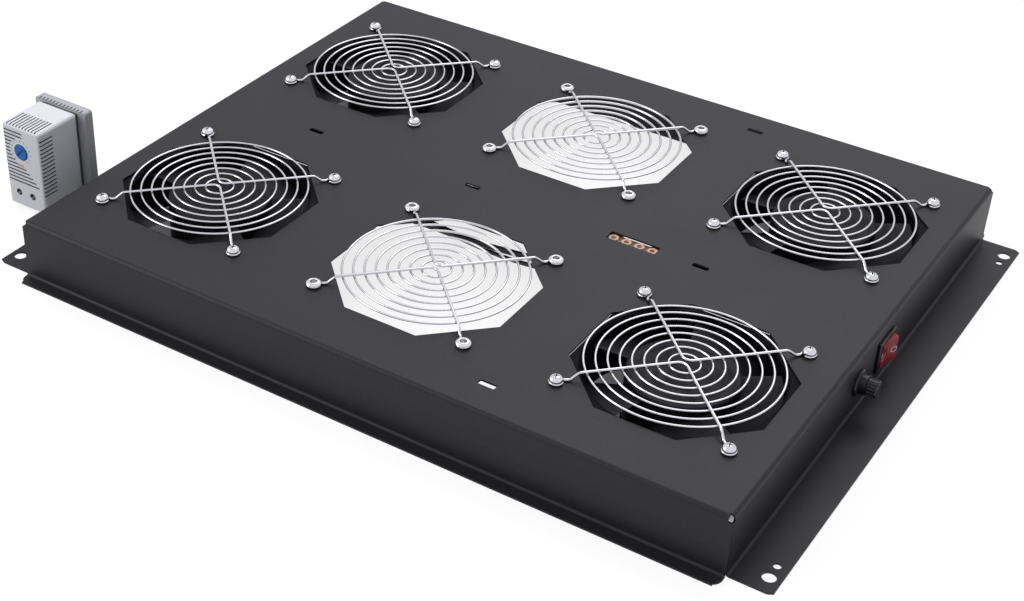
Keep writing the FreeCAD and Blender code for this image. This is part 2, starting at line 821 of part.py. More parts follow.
def switch_terminals():
    """Push-on tabs behind the switch."""
    back = half_length - switch_body_depth
    tabs = []
    for sy in (-1, 1):
        for sz in (-1, 1):
            y = switch_y + sy * tab_pitch / 2
            z = control_height + sz * tab_row_pitch / 2
            tabs.append(box(back - tab_length, back, y - tab_width / 2, y + tab_width / 2,
                            z - tab_thickness / 2, z + tab_thickness / 2))
    return tabs


# ---------------------------------------------------------------- fuse holder, facing +X
def on_fuse_axis(x):
    """Point on the fuse holder's axis."""
    return V(x, fuse_y, control_height)


def fuse_holder_body():
    """Holder barrel with its flange, collar, stepped bore and solder tags."""
    face = half_length + fuse_flange_height
    back = half_length - fuse_barrel_depth
    body = rod(fuse_flange, on_fuse_axis(half_length), on_fuse_axis(face))
    rim = [e for e in body.Edges if e.BoundBox.XMin > face - 1e-6]
    body = body.makeChamfer(fuse_flange_edge, rim)
    body = body.fuse(rod(fuse_barrel, on_fuse_axis(back), on_fuse_axis(half_length)))
    body = body.fuse(rod(fuse_collar, on_fuse_axis(face), on_fuse_axis(face + fuse_collar_height)))
    tag = box(back - solder_tag_length, back, fuse_y - solder_tag_width / 2, fuse_y + solder_tag_width / 2,
              control_height - solder_tag_thickness / 2, control_height + solder_tag_thickness / 2)
    body = body.fuse(tag)
    bore = rod(fuse_bore, on_fuse_axis(back + fuse_bore_floor), on_fuse_axis(face))
    mouth = rod(fuse_collar_bore, on_fuse_axis(face), on_fuse_axis(face + fuse_collar_height + 1))
    return body.cut([bore, mouth])


def fuse_holder_nut():
    """Ring nut behind the wall."""
    back = wall_in - fuse_nut_height
    nut = hexagon(fuse_nut * math.cos(math.pi / 6), on_fuse_axis(back), on_fuse_axis(wall_in))
    return nut.cut(rod(fuse_barrel, on_fuse_axis(back - 1), on_fuse_axis(wall_in + 1)))


def carrier_head_face():
    """Outer face of the carrier's head, where the cap turns."""
    return half_length + fuse_flange_height + carrier_seat_gap + carrier_head_height


def fuse_carrier():
    """Sliding sleeve that holds the fuse link, with the spigot that its cap turns on."""
    low = half_length - fuse_barrel_depth + fuse_bore_floor + carrier_end_gap
    head = carrier_head_face()
    seat = head - carrier_head_height
    carrier = rod(carrier_diameter, on_fuse_axis(low), on_fuse_axis(seat))
    carrier = carrier.fuse(rod(carrier_head, on_fuse_axis(seat), on_fuse_axis(head)))
    carrier = carrier.fuse(rod(spigot_diameter, on_fuse_axis(head), on_fuse_axis(head + spigot_height)))
    bore = rod(carrier_bore, on_fuse_axis(low), on_fuse_axis(low + fuse_link_length + carrier_end_gap))
    return carrier.cut(bore)


def fuse_link():
    """Glass fuse link with its two metal end caps."""
    low = half_length - fuse_barrel_depth + fuse_bore_floor + 2 * carrier_end_gap
    high = low + fuse_link_length
    link = rod(fuse_link_diameter, on_fuse_axis(low), on_fuse_axis(low + fuse_link_cap))
    link = link.fuse(rod(fuse_link_diameter, on_fuse_axis(high - fuse_link_cap), on_fuse_axis(high)))
    glass = rod(fuse_link_diameter - 2 * fuse_glass_step, on_fuse_axis(low), on_fuse_axis(high))
    return link.fuse(glass)


def fuse_cap():
    """Fluted screwdriver cap that turns on the carrier's spigot."""
    skirt = carrier_head_face() + cap_skirt_gap
    shoulder = half_length + fuse_flange_height + fuse_collar_height + cap_skirt_gap
    top = shoulder + cap_height
    cap = rod(cap_diameter, on_fuse_axis(shoulder), on_fuse_axis(top))
    rim = [e for e in cap.Edges if e.BoundBox.XMin > top - 1e-6]
    cap = cap.makeChamfer(cap_edge, rim)
    flute = rod(2 * flute_radius, on_fuse_axis(shoulder + 1), on_fuse_axis(top + 1))
    flute.translate(Z * (cap_diameter / 2 + flute_radius * 0.4))
    cap = cap.cut(spun(flute, on_fuse_axis(0), X, cap_flutes))
    cap = cap.fuse(rod(carrier_head, on_fuse_axis(skirt), on_fuse_axis(shoulder)))
    bore = rod(spigot_diameter + 2 * spigot_clearance, on_fuse_axis(skirt),
               on_fuse_axis(carrier_head_face() + spigot_height + cap_skirt_gap))
    slot = box(top - cap_slot_depth, top + 1, fuse_y - cap_diameter, fuse_y + cap_diameter,
               control_height - cap_slot_width / 2, control_height + cap_slot_width / 2)
    slot.rotate(on_fuse_axis(0), X, 35)
    return cap.cut([bore, slot])


# ---------------------------------------------------------------- terminal block and cable entries
def block_ways_x():
    """X of each way of the terminal block."""
    first = window_x - block_pitch * (block_ways - 1) / 2
    return [first + i * block_pitch for i in range(block_ways)]


def terminal_block():
    """Moulded block with a screw tower and two wire entries for each way."""
    low = plate_under - block_height
    half = block_width / 2
    block = box(window_x - block_length / 2, window_x + block_length / 2, window_y - half, window_y + half,
                low, plate_under - block_tower_drop)
    rail = box(window_x - block_length / 2, window_x + block_length / 2,
               window_y - half, window_y - half + block_rail, low, plate_under)
    block = block.fuse(rail)
    cuts = []
    for x in block_ways_x():
        base = V(x, window_y, plate_under - block_tower_drop - 1)
        block = block.fuse(Part.makeCylinder(block_tower / 2, block_tower_drop + 1, base))
        well = V(x, window_y, plate_under - block_screw_drop)
        cuts.append(Part.makeCylinder(block_screw / 2 + block_screw_clearance, block_screw_drop, well))
        for sy in (-1, 1):
            mouth = V(x, window_y + sy * half, low + block_entry_height)
            cuts.append(rod(block_entry, mouth.sub(Y * (sy * block_entry_depth)), mouth.add(Y * sy)))
    return block.cut(cuts)


def terminal_block_screws():
    """Clamp screws down inside the towers."""
    top = plate_under - block_screw_drop / 2
    screws = []
    for x in block_ways_x():
        screw = rod(block_screw, V(x, window_y, plate_under - block_screw_drop), V(x, window_y, top))
        half_slot = block_screw_slot_width / 2
        slot = box(x - block_screw, x + block_screw, window_y - half_slot, window_y + half_slot,
                   top - block_screw_slot_width, top + 1)
        screws.append(screw.cut(slot))
    return screws


def lead_grommet():
    """Rubber grommet in the left wall, with a groove that holds the sheet."""
    outer = GROMMET.sub(X * grommet_rim_height)
    inner = GROMMET.add(X * (sheet + grommet_rim_height))
    body = rod(grommet_hole, outer, inner)
    body = body.fuse(rod(grommet_rim, outer, GROMMET))
    body = body.fuse(rod(grommet_rim, GROMMET.add(X * sheet), inner))
    return body.cut(rod(grommet_bore, outer.sub(X), inner.add(X)))


def mains_gland():
    """Empty cable gland in the rear wall: dome outside, thread through the wall."""
    wall = V(gland_x, half_width, gland_z)
    hexes = hexagon(gland_hex, wall, wall.add(Y * gland_hex_height))
    shoulder = wall.add(Y * gland_hex_height)
    dome = Part.makeCone(gland_dome / 2, gland_dome_mouth / 2, gland_dome_height, shoulder, Y)
    thread = rod(gland_thread, wall.sub(Y * (sheet + gland_thread_reach)), wall)
    inner = wall.sub(Y * (sheet + gland_thread_reach + 1))
    outer = shoulder.add(Y * (gland_dome_height + 1))
    bore = rod(gland_bore, inner, outer)
    return hexes.fuse(dome).fuse(thread).cut(bore)


def mains_gland_nut():
    """Lock nut of the gland, inside the wall."""
    wall = V(gland_x, half_width - sheet, gland_z)
    nut = hexagon(gland_hex, wall.sub(Y * gland_nut_height), wall)
    return nut.cut(rod(gland_thread, wall.sub(Y * (gland_nut_height + 1)), wall.add(Y)))


def earth_stud():
    """Welded earth stud on the rear wall, inside."""
    wall = V(stud_x, half_width - sheet, gland_z)
    foot = rod(stud_flange, wall.sub(Y * stud_flange_height), wall)
    return foot.fuse(rod(stud_thread, wall.sub(Y * stud_length), wall))


def earth_nut():
    """Nut on the earth stud."""
    top = V(stud_x, half_width - sheet - stud_flange_height, gland_z)
    nut = hexagon(nut_across_flats, top.sub(Y * nut_height), top)
    return nut.cut(rod(stud_thread, top.sub(Y * 9), top.add(Y)))


# ---------------------------------------------------------------- thermostat
def on_front(x_offset, z, depth):
    """Point on the thermostat's front, pushed in by a depth."""
    return V(thermostat_x + x_offset, thermostat_front_y + depth, z)


def front_rod(diameter, x_offset, z, depth_0, depth_1):
    """Round bar square to the thermostat's front, between two depths."""
    return rod(diameter, on_front(x_offset, z, depth_0), on_front(x_offset, z, depth_1))


def thermostat_grooves():
    """Vent grooves of the front, the top and the right side."""
    left = thermostat_x - thermostat_width / 2
    right = thermostat_x + thermostat_width / 2
    dial_x = thermostat_x + dial_x_offset
    half_groove = groove_width / 2
    cuts = []
    for i in range(front_groove_count):
        z = front_groove_top - i * front_groove_pitch
        rise = z - dial_z
        if abs(rise) < scale_clear_radius:
            end = dial_x - math.sqrt(scale_clear_radius**2 - rise**2)
        else:
            end = dial_x + (groove_diagonal_start if rise > 0 else 0.0)
        below = dial_z - scale_clear_radius - z
        if below > 0:
            end = dial_x + below / front_groove_pitch * groove_diagonal_step
        cuts.append(box(left + groove_inset, end, thermostat_front_y - 1,
                        thermostat_front_y + groove_depth, z - half_groove, z + half_groove))
    for i in range(top_groove_count):
        x = thermostat_x + (i - (top_groove_count - 1) / 2) * top_groove_pitch
        cuts.append(box(x - half_groove, x + half_groove, thermostat_front_y - 1,
                        thermostat_front_y + top_groove_length,
                        THERMOSTAT_TOP - groove_depth, THERMOSTAT_TOP + 1))
    for i in range(side_groove_count):
        z = side_groove_top - i * side_groove_pitch
        cuts.append(box(right - groove_depth, right + 1, thermostat_front_y - 1,
                        thermostat_front_y + side_groove_length, z - half_groove, z + half_groove))
    return cuts


def terminal_offsets():
    """Offsets of the two terminals from the thermostat's middle."""
    return (terminal_shift - terminal_pitch / 2, terminal_shift + terminal_pitch / 2)


def thermostat_housing():
    """Moulded thermostat body with grooves, dial recess, terminal holes and wire entries."""
    left = thermostat_x - thermostat_width / 2
    right = thermostat_x + thermostat_width / 2
    body = box(left, right, thermostat_front_y, THERMOSTAT_BACK, thermostat_lift, THERMOSTAT_TOP)
    rounded = [e for e in body.Edges if e.BoundBox.ZLength > 1 or e.BoundBox.ZMin > THERMOSTAT_TOP - 1e-6]
    body = body.makeFillet(thermostat_edge, rounded)
    neck = box(left + neck_inset, right - neck_inset, THERMOSTAT_BACK, THERMOSTAT_BACK + neck_depth,
               thermostat_lift + neck_inset, THERMOSTAT_TOP - neck_inset)
    body = body.fuse(neck)
    cuts = thermostat_grooves()
    recess = dial_diameter + 2 * dial_gap
    cuts.append(front_rod(recess, dial_x_offset, dial_z, -1, dial_recess))
    bore = dial_shaft + 2 * dial_shaft_clearance
    cuts.append(front_rod(bore, dial_x_offset, dial_z, 0, dial_shaft_length + 1))
    for x in terminal_offsets():
        cuts.append(front_rod(terminal_hole, x, terminal_z, -1, terminal_hole_depth))
        entry = V(thermostat_x + x, thermostat_front_y + entry_y_offset, thermostat_lift)
        cuts.append(rod(entry_hole, entry.sub(Z), entry.add(Z * entry_depth)))
    return body.cut(cuts)


def base_back():
    """Y of the base plate's rear face, which stands against the rail."""
    return THERMOSTAT_BACK + neck_depth + base_depth


def clip_slot(gap, low, high):
    """Flanged slot of the rail clip in the base's rear face, or the clip's foot where the gap is 0."""
    back = base_back()
    half = clip_width / 2 + gap
    floor = back - clip_recess_depth - gap
    step = floor + clip_flange_depth + 2 * gap
    flange = half + clip_flange
    slot = box(thermostat_x - half, thermostat_x + half, floor, back, low, high)
    return slot.fuse(box(thermostat_x - flange, thermostat_x + flange, floor, step, low, high))


def thermostat_base():
    """Rear plate with the notched upper edge, the clip's slot and the fixed parts of the rail channel."""
    front = THERMOSTAT_BACK + neck_depth
    back = base_back()
    half = base_width / 2
    plate = box(thermostat_x - half, thermostat_x + half, front, back, 0, base_height)
    upright = [e for e in plate.Edges if e.BoundBox.YLength > base_depth * 0.9]
    plate = plate.makeFillet(base_corner, upright)
    hook = rail_hook_width / 2
    rail_back = back + rail_channel_depth
    top = rail_channel_z + rail_channel_height
    plate = plate.fuse(box(thermostat_x - hook, thermostat_x + hook, back, rail_back + rail_hook_lip,
                           top, top + rail_hook_height))
    plate = plate.fuse(box(thermostat_x - hook, thermostat_x + hook, rail_back, rail_back + rail_hook_lip,
                           top - rail_hook_reach, top))
    inner = clip_width / 2 + clip_gap
    for low, high in ((-hook, -inner), (inner, hook)):
        plate = plate.fuse(box(thermostat_x + low, thermostat_x + high, back, rail_back,
                               rail_channel_z - rail_guide_height, rail_channel_z))
    cuts = [clip_slot(clip_gap, -1, rail_channel_z + clip_gap)]
    pitch = (base_width - 4 * base_corner) / (base_notch_count - 1)
    for i in range(base_notch_count):
        x = thermostat_x - half + 2 * base_corner + i * pitch
        cuts.append(box(x - base_notch_width / 2, x + base_notch_width / 2, front - 1, front + base_notch_reach,
                        base_height - base_notch_depth, base_height + 1))
    return plate.cut(cuts)


def thermostat_clip():
    """Sprung rail clip that slides in the base, its lip reaching behind the rail."""
    back = base_back()
    rail_back = back + rail_channel_depth
    half = clip_width / 2
    foot = clip_slot(0.0, clip_bottom, rail_channel_z)
    block = box(thermostat_x - half, thermostat_x + half, back, rail_back + rail_hook_lip,
                clip_bottom, rail_channel_z)
    lip = box(thermostat_x - half, thermostat_x + half, rail_back, rail_back + rail_hook_lip,
              rail_channel_z, rail_channel_z + clip_reach)
    return foot.fuse(block).fuse(lip).removeSplitter()


def thermostat_dial():
    """Setting dial with its screwdriver slot."""
    face = -dial_height + dial_recess
    dial = front_rod(dial_diameter, dial_x_offset, dial_z, face, dial_recess - dial_floor_gap)
    rim = [e for e in dial.Edges if e.BoundBox.YMax < thermostat_front_y + face + 1e-6]
    dial = dial.makeChamfer(dial_edge, rim)
    shaft = front_rod(dial_shaft, dial_x_offset, dial_z, 0, dial_shaft_length)
    x = thermostat_x + dial_x_offset
    slot = box(x - dial_slot_length / 2, x + dial_slot_length / 2,
               thermostat_front_y + face - 1, thermostat_front_y + face + dial_slot_depth,
               dial_z - dial_slot_width / 2, dial_z + dial_slot_width / 2)
    slot.rotate(V(x, 0, dial_z), Y, dial_slot_angle)
    return dial.fuse(shaft).cut(slot)


def thermostat_screws():
    """Terminal screws at the bottom of their holes."""
    screws = []
    for x in terminal_offsets():
        foot = on_front(x, terminal_z, terminal_hole_depth)
        head = rod(terminal_screw_head, foot, foot.sub(Y * terminal_screw_height))
        face = thermostat_front_y + terminal_hole_depth - terminal_screw_height
        cx = thermostat_x + x
        half_slot = terminal_screw_slot / 2
        slot = box(cx - terminal_screw_head, cx + terminal_screw_head,
                   face - 1, face + terminal_screw_slot, terminal_z - half_slot, terminal_z + half_slot)
        slot.rotate(V(cx, 0, terminal_z), Y, terminal_slot_angle)
        screws.append(head.cut(slot))
    return screws


# ---------------------------------------------------------------- leads
def lead_side():
    """Half the distance between the two leads in the grommet."""
    return grommet_bore / 2 - lead_diameter / 2 - grommet_slack


def block_entry_point(way, sy):
    """Bottom of one wire entry of the terminal block, and the point straight out from it."""
    x = block_ways_x()[way]
    z = plate_under - block_height + block_entry_height
    bottom = V(x, window_y + sy * (block_width / 2 - block_entry_depth), z)
    return bottom, bottom.add(Y * (sy * block_lead_in))


def thermostat_leads():
    """The two loose leads, from the thermostat's wire entries to the grommet."""
    leads = []
    for x, slack, side in zip(terminal_offsets(), (lead_1_slack, lead_2_slack), (1, -1)):
        entry = V(thermostat_x + x, thermostat_front_y + entry_y_offset, thermostat_lift + entry_depth)
        end = GROMMET.add(V(sheet / 2, side * lead_side(), 0))
        points = [entry, V(entry.x, entry.y, lead_on_floor)] + [V(*p) for p in slack]
        leads.append(cord(points + [end.sub(X * grommet_lead_in), end], lead_diameter))
    return leads


def thermostat_tail():
    """The same two conductors inside the tray, from the grommet to the terminal block."""
    leads = []
    for way, side in ((1, 1), (2, -1)):
        inner = 0.0 if side > 0 else tail_spacing
        begin = GROMMET.add(V(sheet / 2, side * lead_side(), 0))
        end, before = block_entry_point(way, -1)
        points = [begin, begin.add(X * (grommet_lead_in + inner))]
        points += [V(x - tail_spacing + inner, y, z + inner) for x, y, z in tail_corner]
        points += [V(x, y - inner, z + inner) for x, y, z in tail_corridor]
        points += [V(before.x - block_pitch, tail_corridor[-1][1] - 2 - inner, 26), before, end]
        leads.append(cord(points, lead_diameter))
    return leads


def fan_leads():
    """Flat leads from each fan to the terminal block."""
    leads = []
    for side in (-1, 1):
        near = side * (row_pitch / 2 - fan_size / 2)
        lift = front_left_lift if side < 0 else 0.0
        x = -column_pitch + lead_boss_offset
        end, before = block_entry_point(0, side)
        points = [V(x, near, lead_boss_z), V(x, side * 31, lead_boss_z)]
        points.append(V(x + 14, side * 28.5, lead_boss_z + 2 + lift))
        points += [V(px, side * py, pz + lift) for px, py, pz in left_fan_slack]
        points += [V(before.x - 14, side * 27, 24 + lift), before, end]
        leads.append(cord(points, fan_lead_diameter))
        x = column_pitch - lead_boss_offset
        way = block_ways - 1 if side < 0 else block_ways - 2
        end, before = block_entry_point(way, side)
        points = [V(x, near, lead_boss_z), V(x, side * 30, lead_boss_z), V(x - 13, side * 26, 18)]
        points += [V(before.x + 15, side * 26, 26), before, end]
        leads.append(cord(points, fan_lead_diameter))
    return leads


def supply_leads():
    """Single conductors from the fuse holder to the switch and from the switch to the terminal block."""
    tag_end = V(half_length - fuse_barrel_depth - solder_tag_length, fuse_y, control_height)
    tab_x = half_length - switch_body_depth - tab_length
    tab_low = V(tab_x, switch_y - tab_pitch / 2, control_height - tab_row_pitch / 2)
    tab_high = V(tab_x, switch_y + tab_pitch / 2, control_height + tab_row_pitch / 2)
    end, before = block_entry_point(block_ways - 1, 1)
    fuse_to_switch = [
        tag_end, tag_end.sub(X * fuse_lead_in), V(180, fuse_y + 12, 18),
        tab_low.sub(V(2 * tab_lead_in, 7, 0)), tab_low.sub(X * tab_lead_in), tab_low,
    ]
    switch_to_block = [tab_high, tab_high.sub(X * (tab_lead_in + 5))] + [V(*p) for p in switch_slack]
    switch_to_block += [V(before.x + 17, before.y + 7.5, 25), before, end]
    return [cord(p, lead_diameter) for p in (fuse_to_switch, switch_to_block)]


# ---------------------------------------------------------------- assembly
def place(shape, row, col):
    """Copy of a shape moved to a fan position."""
    copy = shape.copy()
    copy.translate(at_fan(row, col))
    return copy


def main():
    os.makedirs("parts", exist_ok=True)
    write("tray_panel", tray_panel())
    arms = [guard_arm_wire(-1), guard_arm_wire(1)]
    rings = guard_rings(arms)
    for row in ROWS:
        for col in COLUMNS:
            write("finger_guard_" + row + "_" + col, [place(ring, row, col) for ring in rings])
            write("guard_wires_" + row + "_" + col, [place(arm, row, col) for arm in arms])
    wheel = impeller()
    shaft = fan_shaft()
    stator = fan_stator()
    bearings = []
    for row, col in FANS:
        side = -1 if row == "rear" else 1
        lead_x = lead_boss_offset if col == "left" else -lead_boss_offset
        write("fan_frame_" + row + "_" + col, place(fan_frame(lead_x, side), row, col))
        write("fan_impeller_" + row + "_" + col, place(wheel, row, col))
        write("fan_shaft_" + row + "_" + col, place(shaft, row, col))
        write("fan_stator_" + row + "_" + col, place(stator, row, col))
        bearings += [place(b, row, col) for b in fan_bearings()]
    write("fan_bearings", bearings)
    fitted = [p for row, col in FANS for p in fixing_points(row, col)]
    spare = [p for row, col in SPARE for p in fixing_points(row, col)]
    write("fan_screws", [fan_screw(p) for p in fitted])
    write("fan_nuts", [fan_nut(p) for p in fitted])
    write("guard_rivets", [guard_rivet(p) for p in spare])
    write("switch_housing", switch_housing())
    write("switch_rocker", switch_rocker())
    write("switch_terminals", switch_terminals())
    write("fuse_holder_body", fuse_holder_body())
    write("fuse_holder_nut", fuse_holder_nut())
    write("fuse_carrier", fuse_carrier())
    write("fuse_link", fuse_link())
    write("fuse_cap", fuse_cap())
    write("terminal_block", terminal_block())
    write("terminal_block_screws", terminal_block_screws())
    write("lead_grommet", lead_grommet())
    write("mains_gland", mains_gland())
    write("mains_gland_nut", mains_gland_nut())
    write("earth_stud", earth_stud())
    write("earth_nut", earth_nut())
    write("thermostat_housing", thermostat_housing())
    write("thermostat_base", thermostat_base())
    write("thermostat_clip", thermostat_clip())
    write("thermostat_dial", thermostat_dial())
    write("thermostat_screws", thermostat_screws())
    first, second = thermostat_leads()
    write("thermostat_lead_1", first)
    write("thermostat_lead_2", second)
    write("thermostat_tail", thermostat_tail())
    write("fan_leads", fan_leads())
    write("supply_leads", supply_leads())


main()
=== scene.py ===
"""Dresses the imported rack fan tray: finishes for its CAD nodes, and detailed pieces in place of some."""

import json
import logging
import math
from collections.abc import Callable, Iterator, Sequence
from contextlib import contextmanager
from dataclasses import dataclass, field
from enum import Enum

import bmesh
import bpy
from mathutils import Matrix, Quaternion, Vector

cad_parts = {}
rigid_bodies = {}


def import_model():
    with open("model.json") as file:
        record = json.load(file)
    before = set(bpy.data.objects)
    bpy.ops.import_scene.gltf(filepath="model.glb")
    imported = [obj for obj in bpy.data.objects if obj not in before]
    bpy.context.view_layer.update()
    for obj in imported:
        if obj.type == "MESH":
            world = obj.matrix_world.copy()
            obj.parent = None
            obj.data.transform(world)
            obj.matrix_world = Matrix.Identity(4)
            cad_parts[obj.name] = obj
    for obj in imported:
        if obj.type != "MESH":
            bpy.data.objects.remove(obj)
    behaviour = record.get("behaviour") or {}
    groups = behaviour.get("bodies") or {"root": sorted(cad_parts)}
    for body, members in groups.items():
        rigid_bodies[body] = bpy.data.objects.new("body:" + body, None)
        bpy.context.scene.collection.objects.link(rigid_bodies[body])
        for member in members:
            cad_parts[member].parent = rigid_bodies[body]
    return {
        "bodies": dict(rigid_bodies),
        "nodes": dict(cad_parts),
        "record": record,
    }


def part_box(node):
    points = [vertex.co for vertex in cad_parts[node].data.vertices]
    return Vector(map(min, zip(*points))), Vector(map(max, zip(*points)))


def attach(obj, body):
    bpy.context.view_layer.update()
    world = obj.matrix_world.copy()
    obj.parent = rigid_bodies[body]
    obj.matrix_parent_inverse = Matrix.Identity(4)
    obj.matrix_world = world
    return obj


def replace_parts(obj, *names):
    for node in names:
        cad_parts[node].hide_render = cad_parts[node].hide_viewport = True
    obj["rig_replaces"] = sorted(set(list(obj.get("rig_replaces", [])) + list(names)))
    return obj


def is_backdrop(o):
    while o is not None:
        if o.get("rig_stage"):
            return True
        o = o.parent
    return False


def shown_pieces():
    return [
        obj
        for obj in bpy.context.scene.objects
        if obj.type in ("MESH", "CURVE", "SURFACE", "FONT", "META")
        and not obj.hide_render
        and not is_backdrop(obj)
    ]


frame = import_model()

LOG = logging.getLogger("fan_tray")
MM = 0.001
Colour = tuple[float, float, float]
Piece = bpy.types.Object
Socket = bpy.types.NodeSocket
UP = Vector((0, 0, 1))
ORIGIN = Vector((0, 0, 0))
TOUCHING = 1e-6
SHARP = 30.0
COAT_ROUGHNESS = 0.15
BUMP_STRENGTH = 0.8


# ---------------------------------------------------------------- modelling helpers
def clear_start_up() -> None:
    """Removes what a new file holds besides the frame."""
    kept = {*frame["nodes"].values(), *frame["bodies"].values()}
    for obj in [o for o in bpy.data.objects if o not in kept]:
        bpy.data.objects.remove(obj)


def mm(*values: float) -> Vector:
    """Point in metres from millimetres."""
    return Vector(values) * MM


def deselect_all() -> None:
    """Leaves object mode with nothing selected."""
    if bpy.context.object is not None and bpy.context.object.mode != "OBJECT":
        bpy.ops.object.mode_set(mode="OBJECT")
    bpy.ops.object.select_all(action="DESELECT")


def activate(obj: Piece) -> Piece:
    """Makes one object the only selected one.

    Args:
        obj: the object to work on.

    Returns:
        The same object.
    """
    deselect_all()
    bpy.context.view_layer.objects.active = obj
    obj.select_set(True)
    return obj


@contextmanager
def editing(obj: Piece) -> Iterator[bmesh.types.BMesh]:
    """Opens edit mode on an object and closes it again.

    Args:
        obj: the mesh object to edit.

    Yields:
        Its edit mesh.
    """
    activate(obj)
    bpy.ops.object.mode_set(mode="EDIT")
    bpy.ops.mesh.select_mode(type="VERT")
    yield bmesh.from_edit_mesh(obj.data)
    bpy.ops.object.mode_set(mode="OBJECT")


def pick(obj: Piece, test: Callable[[Vector], bool], what: str = "verts") -> int:
    """Selects elements of the object in edit mode by their place.

    Args:
        obj: the object in edit mode.
        test: says for a middle point whether it is wanted.
        what: "verts", "edges" or "faces".

    Returns:
        How many elements were selected.
    """
    bpy.ops.mesh.select_mode(type={"verts": "VERT", "edges": "EDGE", "faces": "FACE"}[what])
    bpy.ops.mesh.select_all(action="DESELECT")
    mesh = bmesh.from_edit_mesh(obj.data)
    count = 0
    for element in getattr(mesh, what):
        if what == "verts":
            middle = element.co
        elif what == "edges":
            middle = (element.verts[0].co + element.verts[1].co) / 2
        else:
            middle = element.calc_center_median()
        if test(middle):
            element.select_set(True)
            count += 1
    mesh.select_flush_mode()
    bmesh.update_edit_mesh(obj.data)
    return count


def named(name: str) -> Piece:
    """Gives the object that an operator just made its own name.

    Args:
        name: the name for the object and its data.

    Returns:
        The object.
    """
    obj = bpy.context.object
    obj.name = name
    obj.data.name = name
    return obj


def settle(obj: Piece) -> Piece:
    """Puts the object's place into its mesh.

    Args:
        obj: the object to settle.

    Returns:
        The same object.
    """
    activate(obj)
    bpy.ops.object.transform_apply(location=True, rotation=True, scale=True)
    return obj


def modify(obj: Piece, kind: str, **settings: object) -> Piece:
    """Adds a modifier, sets it and applies it.

    Args:
        obj: the object to change.
        kind: Blender's modifier type.
        **settings: properties of the modifier.

    Returns:
        The same object.
    """
    activate(obj)
    bpy.ops.object.modifier_add(type=kind)
    modifier = obj.modifiers[-1]
    for key, value in settings.items():
        setattr(modifier, key, value)
    bpy.ops.object.modifier_apply(modifier=modifier.name)
    return obj


def smooth(obj: Piece, degrees: float = 35.0, weighted: bool = True) -> Piece:
    """Shades smooth up to an angle and lets large faces keep their own direction.

    Args:
        obj: the object to shade.
        degrees: edges sharper than this stay sharp.
        weighted: whether large faces decide the shading of their edges.

    Returns:
        The same object.
    """
    activate(obj)
    bpy.ops.object.shade_smooth_by_angle(angle=math.radians(degrees))
    if weighted:
        modify(obj, "WEIGHTED_NORMAL", mode="FACE_AREA", weight=50, keep_sharp=True)
    return obj


def join(parts: Sequence[Piece], name: str) -> Piece:
    """Joins several objects into one.

    Args:
        parts: the objects, of which the first keeps its data.
        name: the name of the result.

    Returns:
        The joined object.
    """
    deselect_all()
    for part in parts:
        part.select_set(True)
    bpy.context.view_layer.objects.active = parts[0]
    if len(parts) > 1:
        bpy.ops.object.join()
    return named(name)


def copied(obj: Piece, name: str, offset: Vector) -> Piece:
    """Copies an object with its own mesh, moved by an offset that goes into the mesh.

    Args:
        obj: the object to copy.
        name: the copy's name.
        offset: how far the copy is moved.

    Returns:
        The copy.
    """
    activate(obj)
    bpy.ops.object.duplicate(linked=False)
    copy = named(name)
    copy.location = copy.location + offset
    return settle(copy)


def carve(obj: Piece, tool: Piece) -> Piece:
    """Cuts a tool out of an object and removes the tool.

    Args:
        obj: the object to cut.
        tool: the cutting object.

    Returns:
        The same object.
    """
    modify(obj, "BOOLEAN", operation="DIFFERENCE", object=tool, solver="EXACT")
    bpy.data.objects.remove(tool)
    return obj


def rounded_block(name: str, low: Vector, high: Vector, edge: float) -> Piece:
    """Block between two corners with rounded edges.

    Args:
        name: the object's name.
        low: lowest corner.
        high: highest corner.
        edge: radius of the edges.

    Returns:
        The new object.
    """
    deselect_all()
    bpy.ops.mesh.primitive_cube_add(size=1, location=(low + high) / 2, scale=high - low)
    obj = settle(named(name))
    with editing(obj):
        bpy.ops.mesh.select_all(action="SELECT")
        bpy.ops.mesh.bevel(offset=edge, segments=3, affect="EDGES")
    return obj


def turned(name: str, profile: Sequence[tuple[float, float]], steps: int = 48, axis: str = "Z",
           centre: Vector | None = None) -> Piece:
    """Turned piece: a ring drawn along an axis and resized at every step of its profile.

    Args:
        name: the object's name.
        profile: pairs of radius and distance along the axis, in metres; radius 0 closes the end.
        steps: points round the ring.
        axis: "X", "Y" or "Z".
        centre: where the axis starts.

    Returns:
        The new object, with its axis along the wanted direction.
    """
    tiny = 1e-5
    deselect_all()
    first_radius, first_height = profile[0]
    bpy.ops.mesh.primitive_circle_add(vertices=steps, radius=max(first_radius, tiny), fill_type="NOTHING",
                                      location=(0, 0, first_height))
    obj = settle(named(name))
    closed = first_radius > 0 and profile[-1] == profile[0]
    with editing(obj):
        bpy.ops.mesh.select_all(action="SELECT")
        radius, height = max(first_radius, tiny), first_height
        for next_radius, next_height in profile[1:]:
            next_radius = max(next_radius, tiny)
            bpy.ops.mesh.extrude_region_move(TRANSFORM_OT_translate={"value": (0, 0, next_height - height)})
            share = next_radius / radius
            bpy.ops.transform.resize(value=(share, share, 1), center_override=(0, 0, next_height))
            radius, height = next_radius, next_height
        bpy.ops.mesh.select_all(action="SELECT")
        bpy.ops.mesh.remove_doubles(threshold=TOUCHING if closed else 2.5 * tiny)
        bpy.ops.mesh.normals_make_consistent(inside=False)
    turn = {"X": Quaternion((0, 1, 0), math.pi / 2), "Y": Quaternion((1, 0, 0), -math.pi / 2)}
    obj.rotation_mode = "QUATERNION"
    if axis in turn:
        obj.rotation_quaternion = turn[axis]
    obj.location = centre if centre is not None else ORIGIN
    return settle(obj)


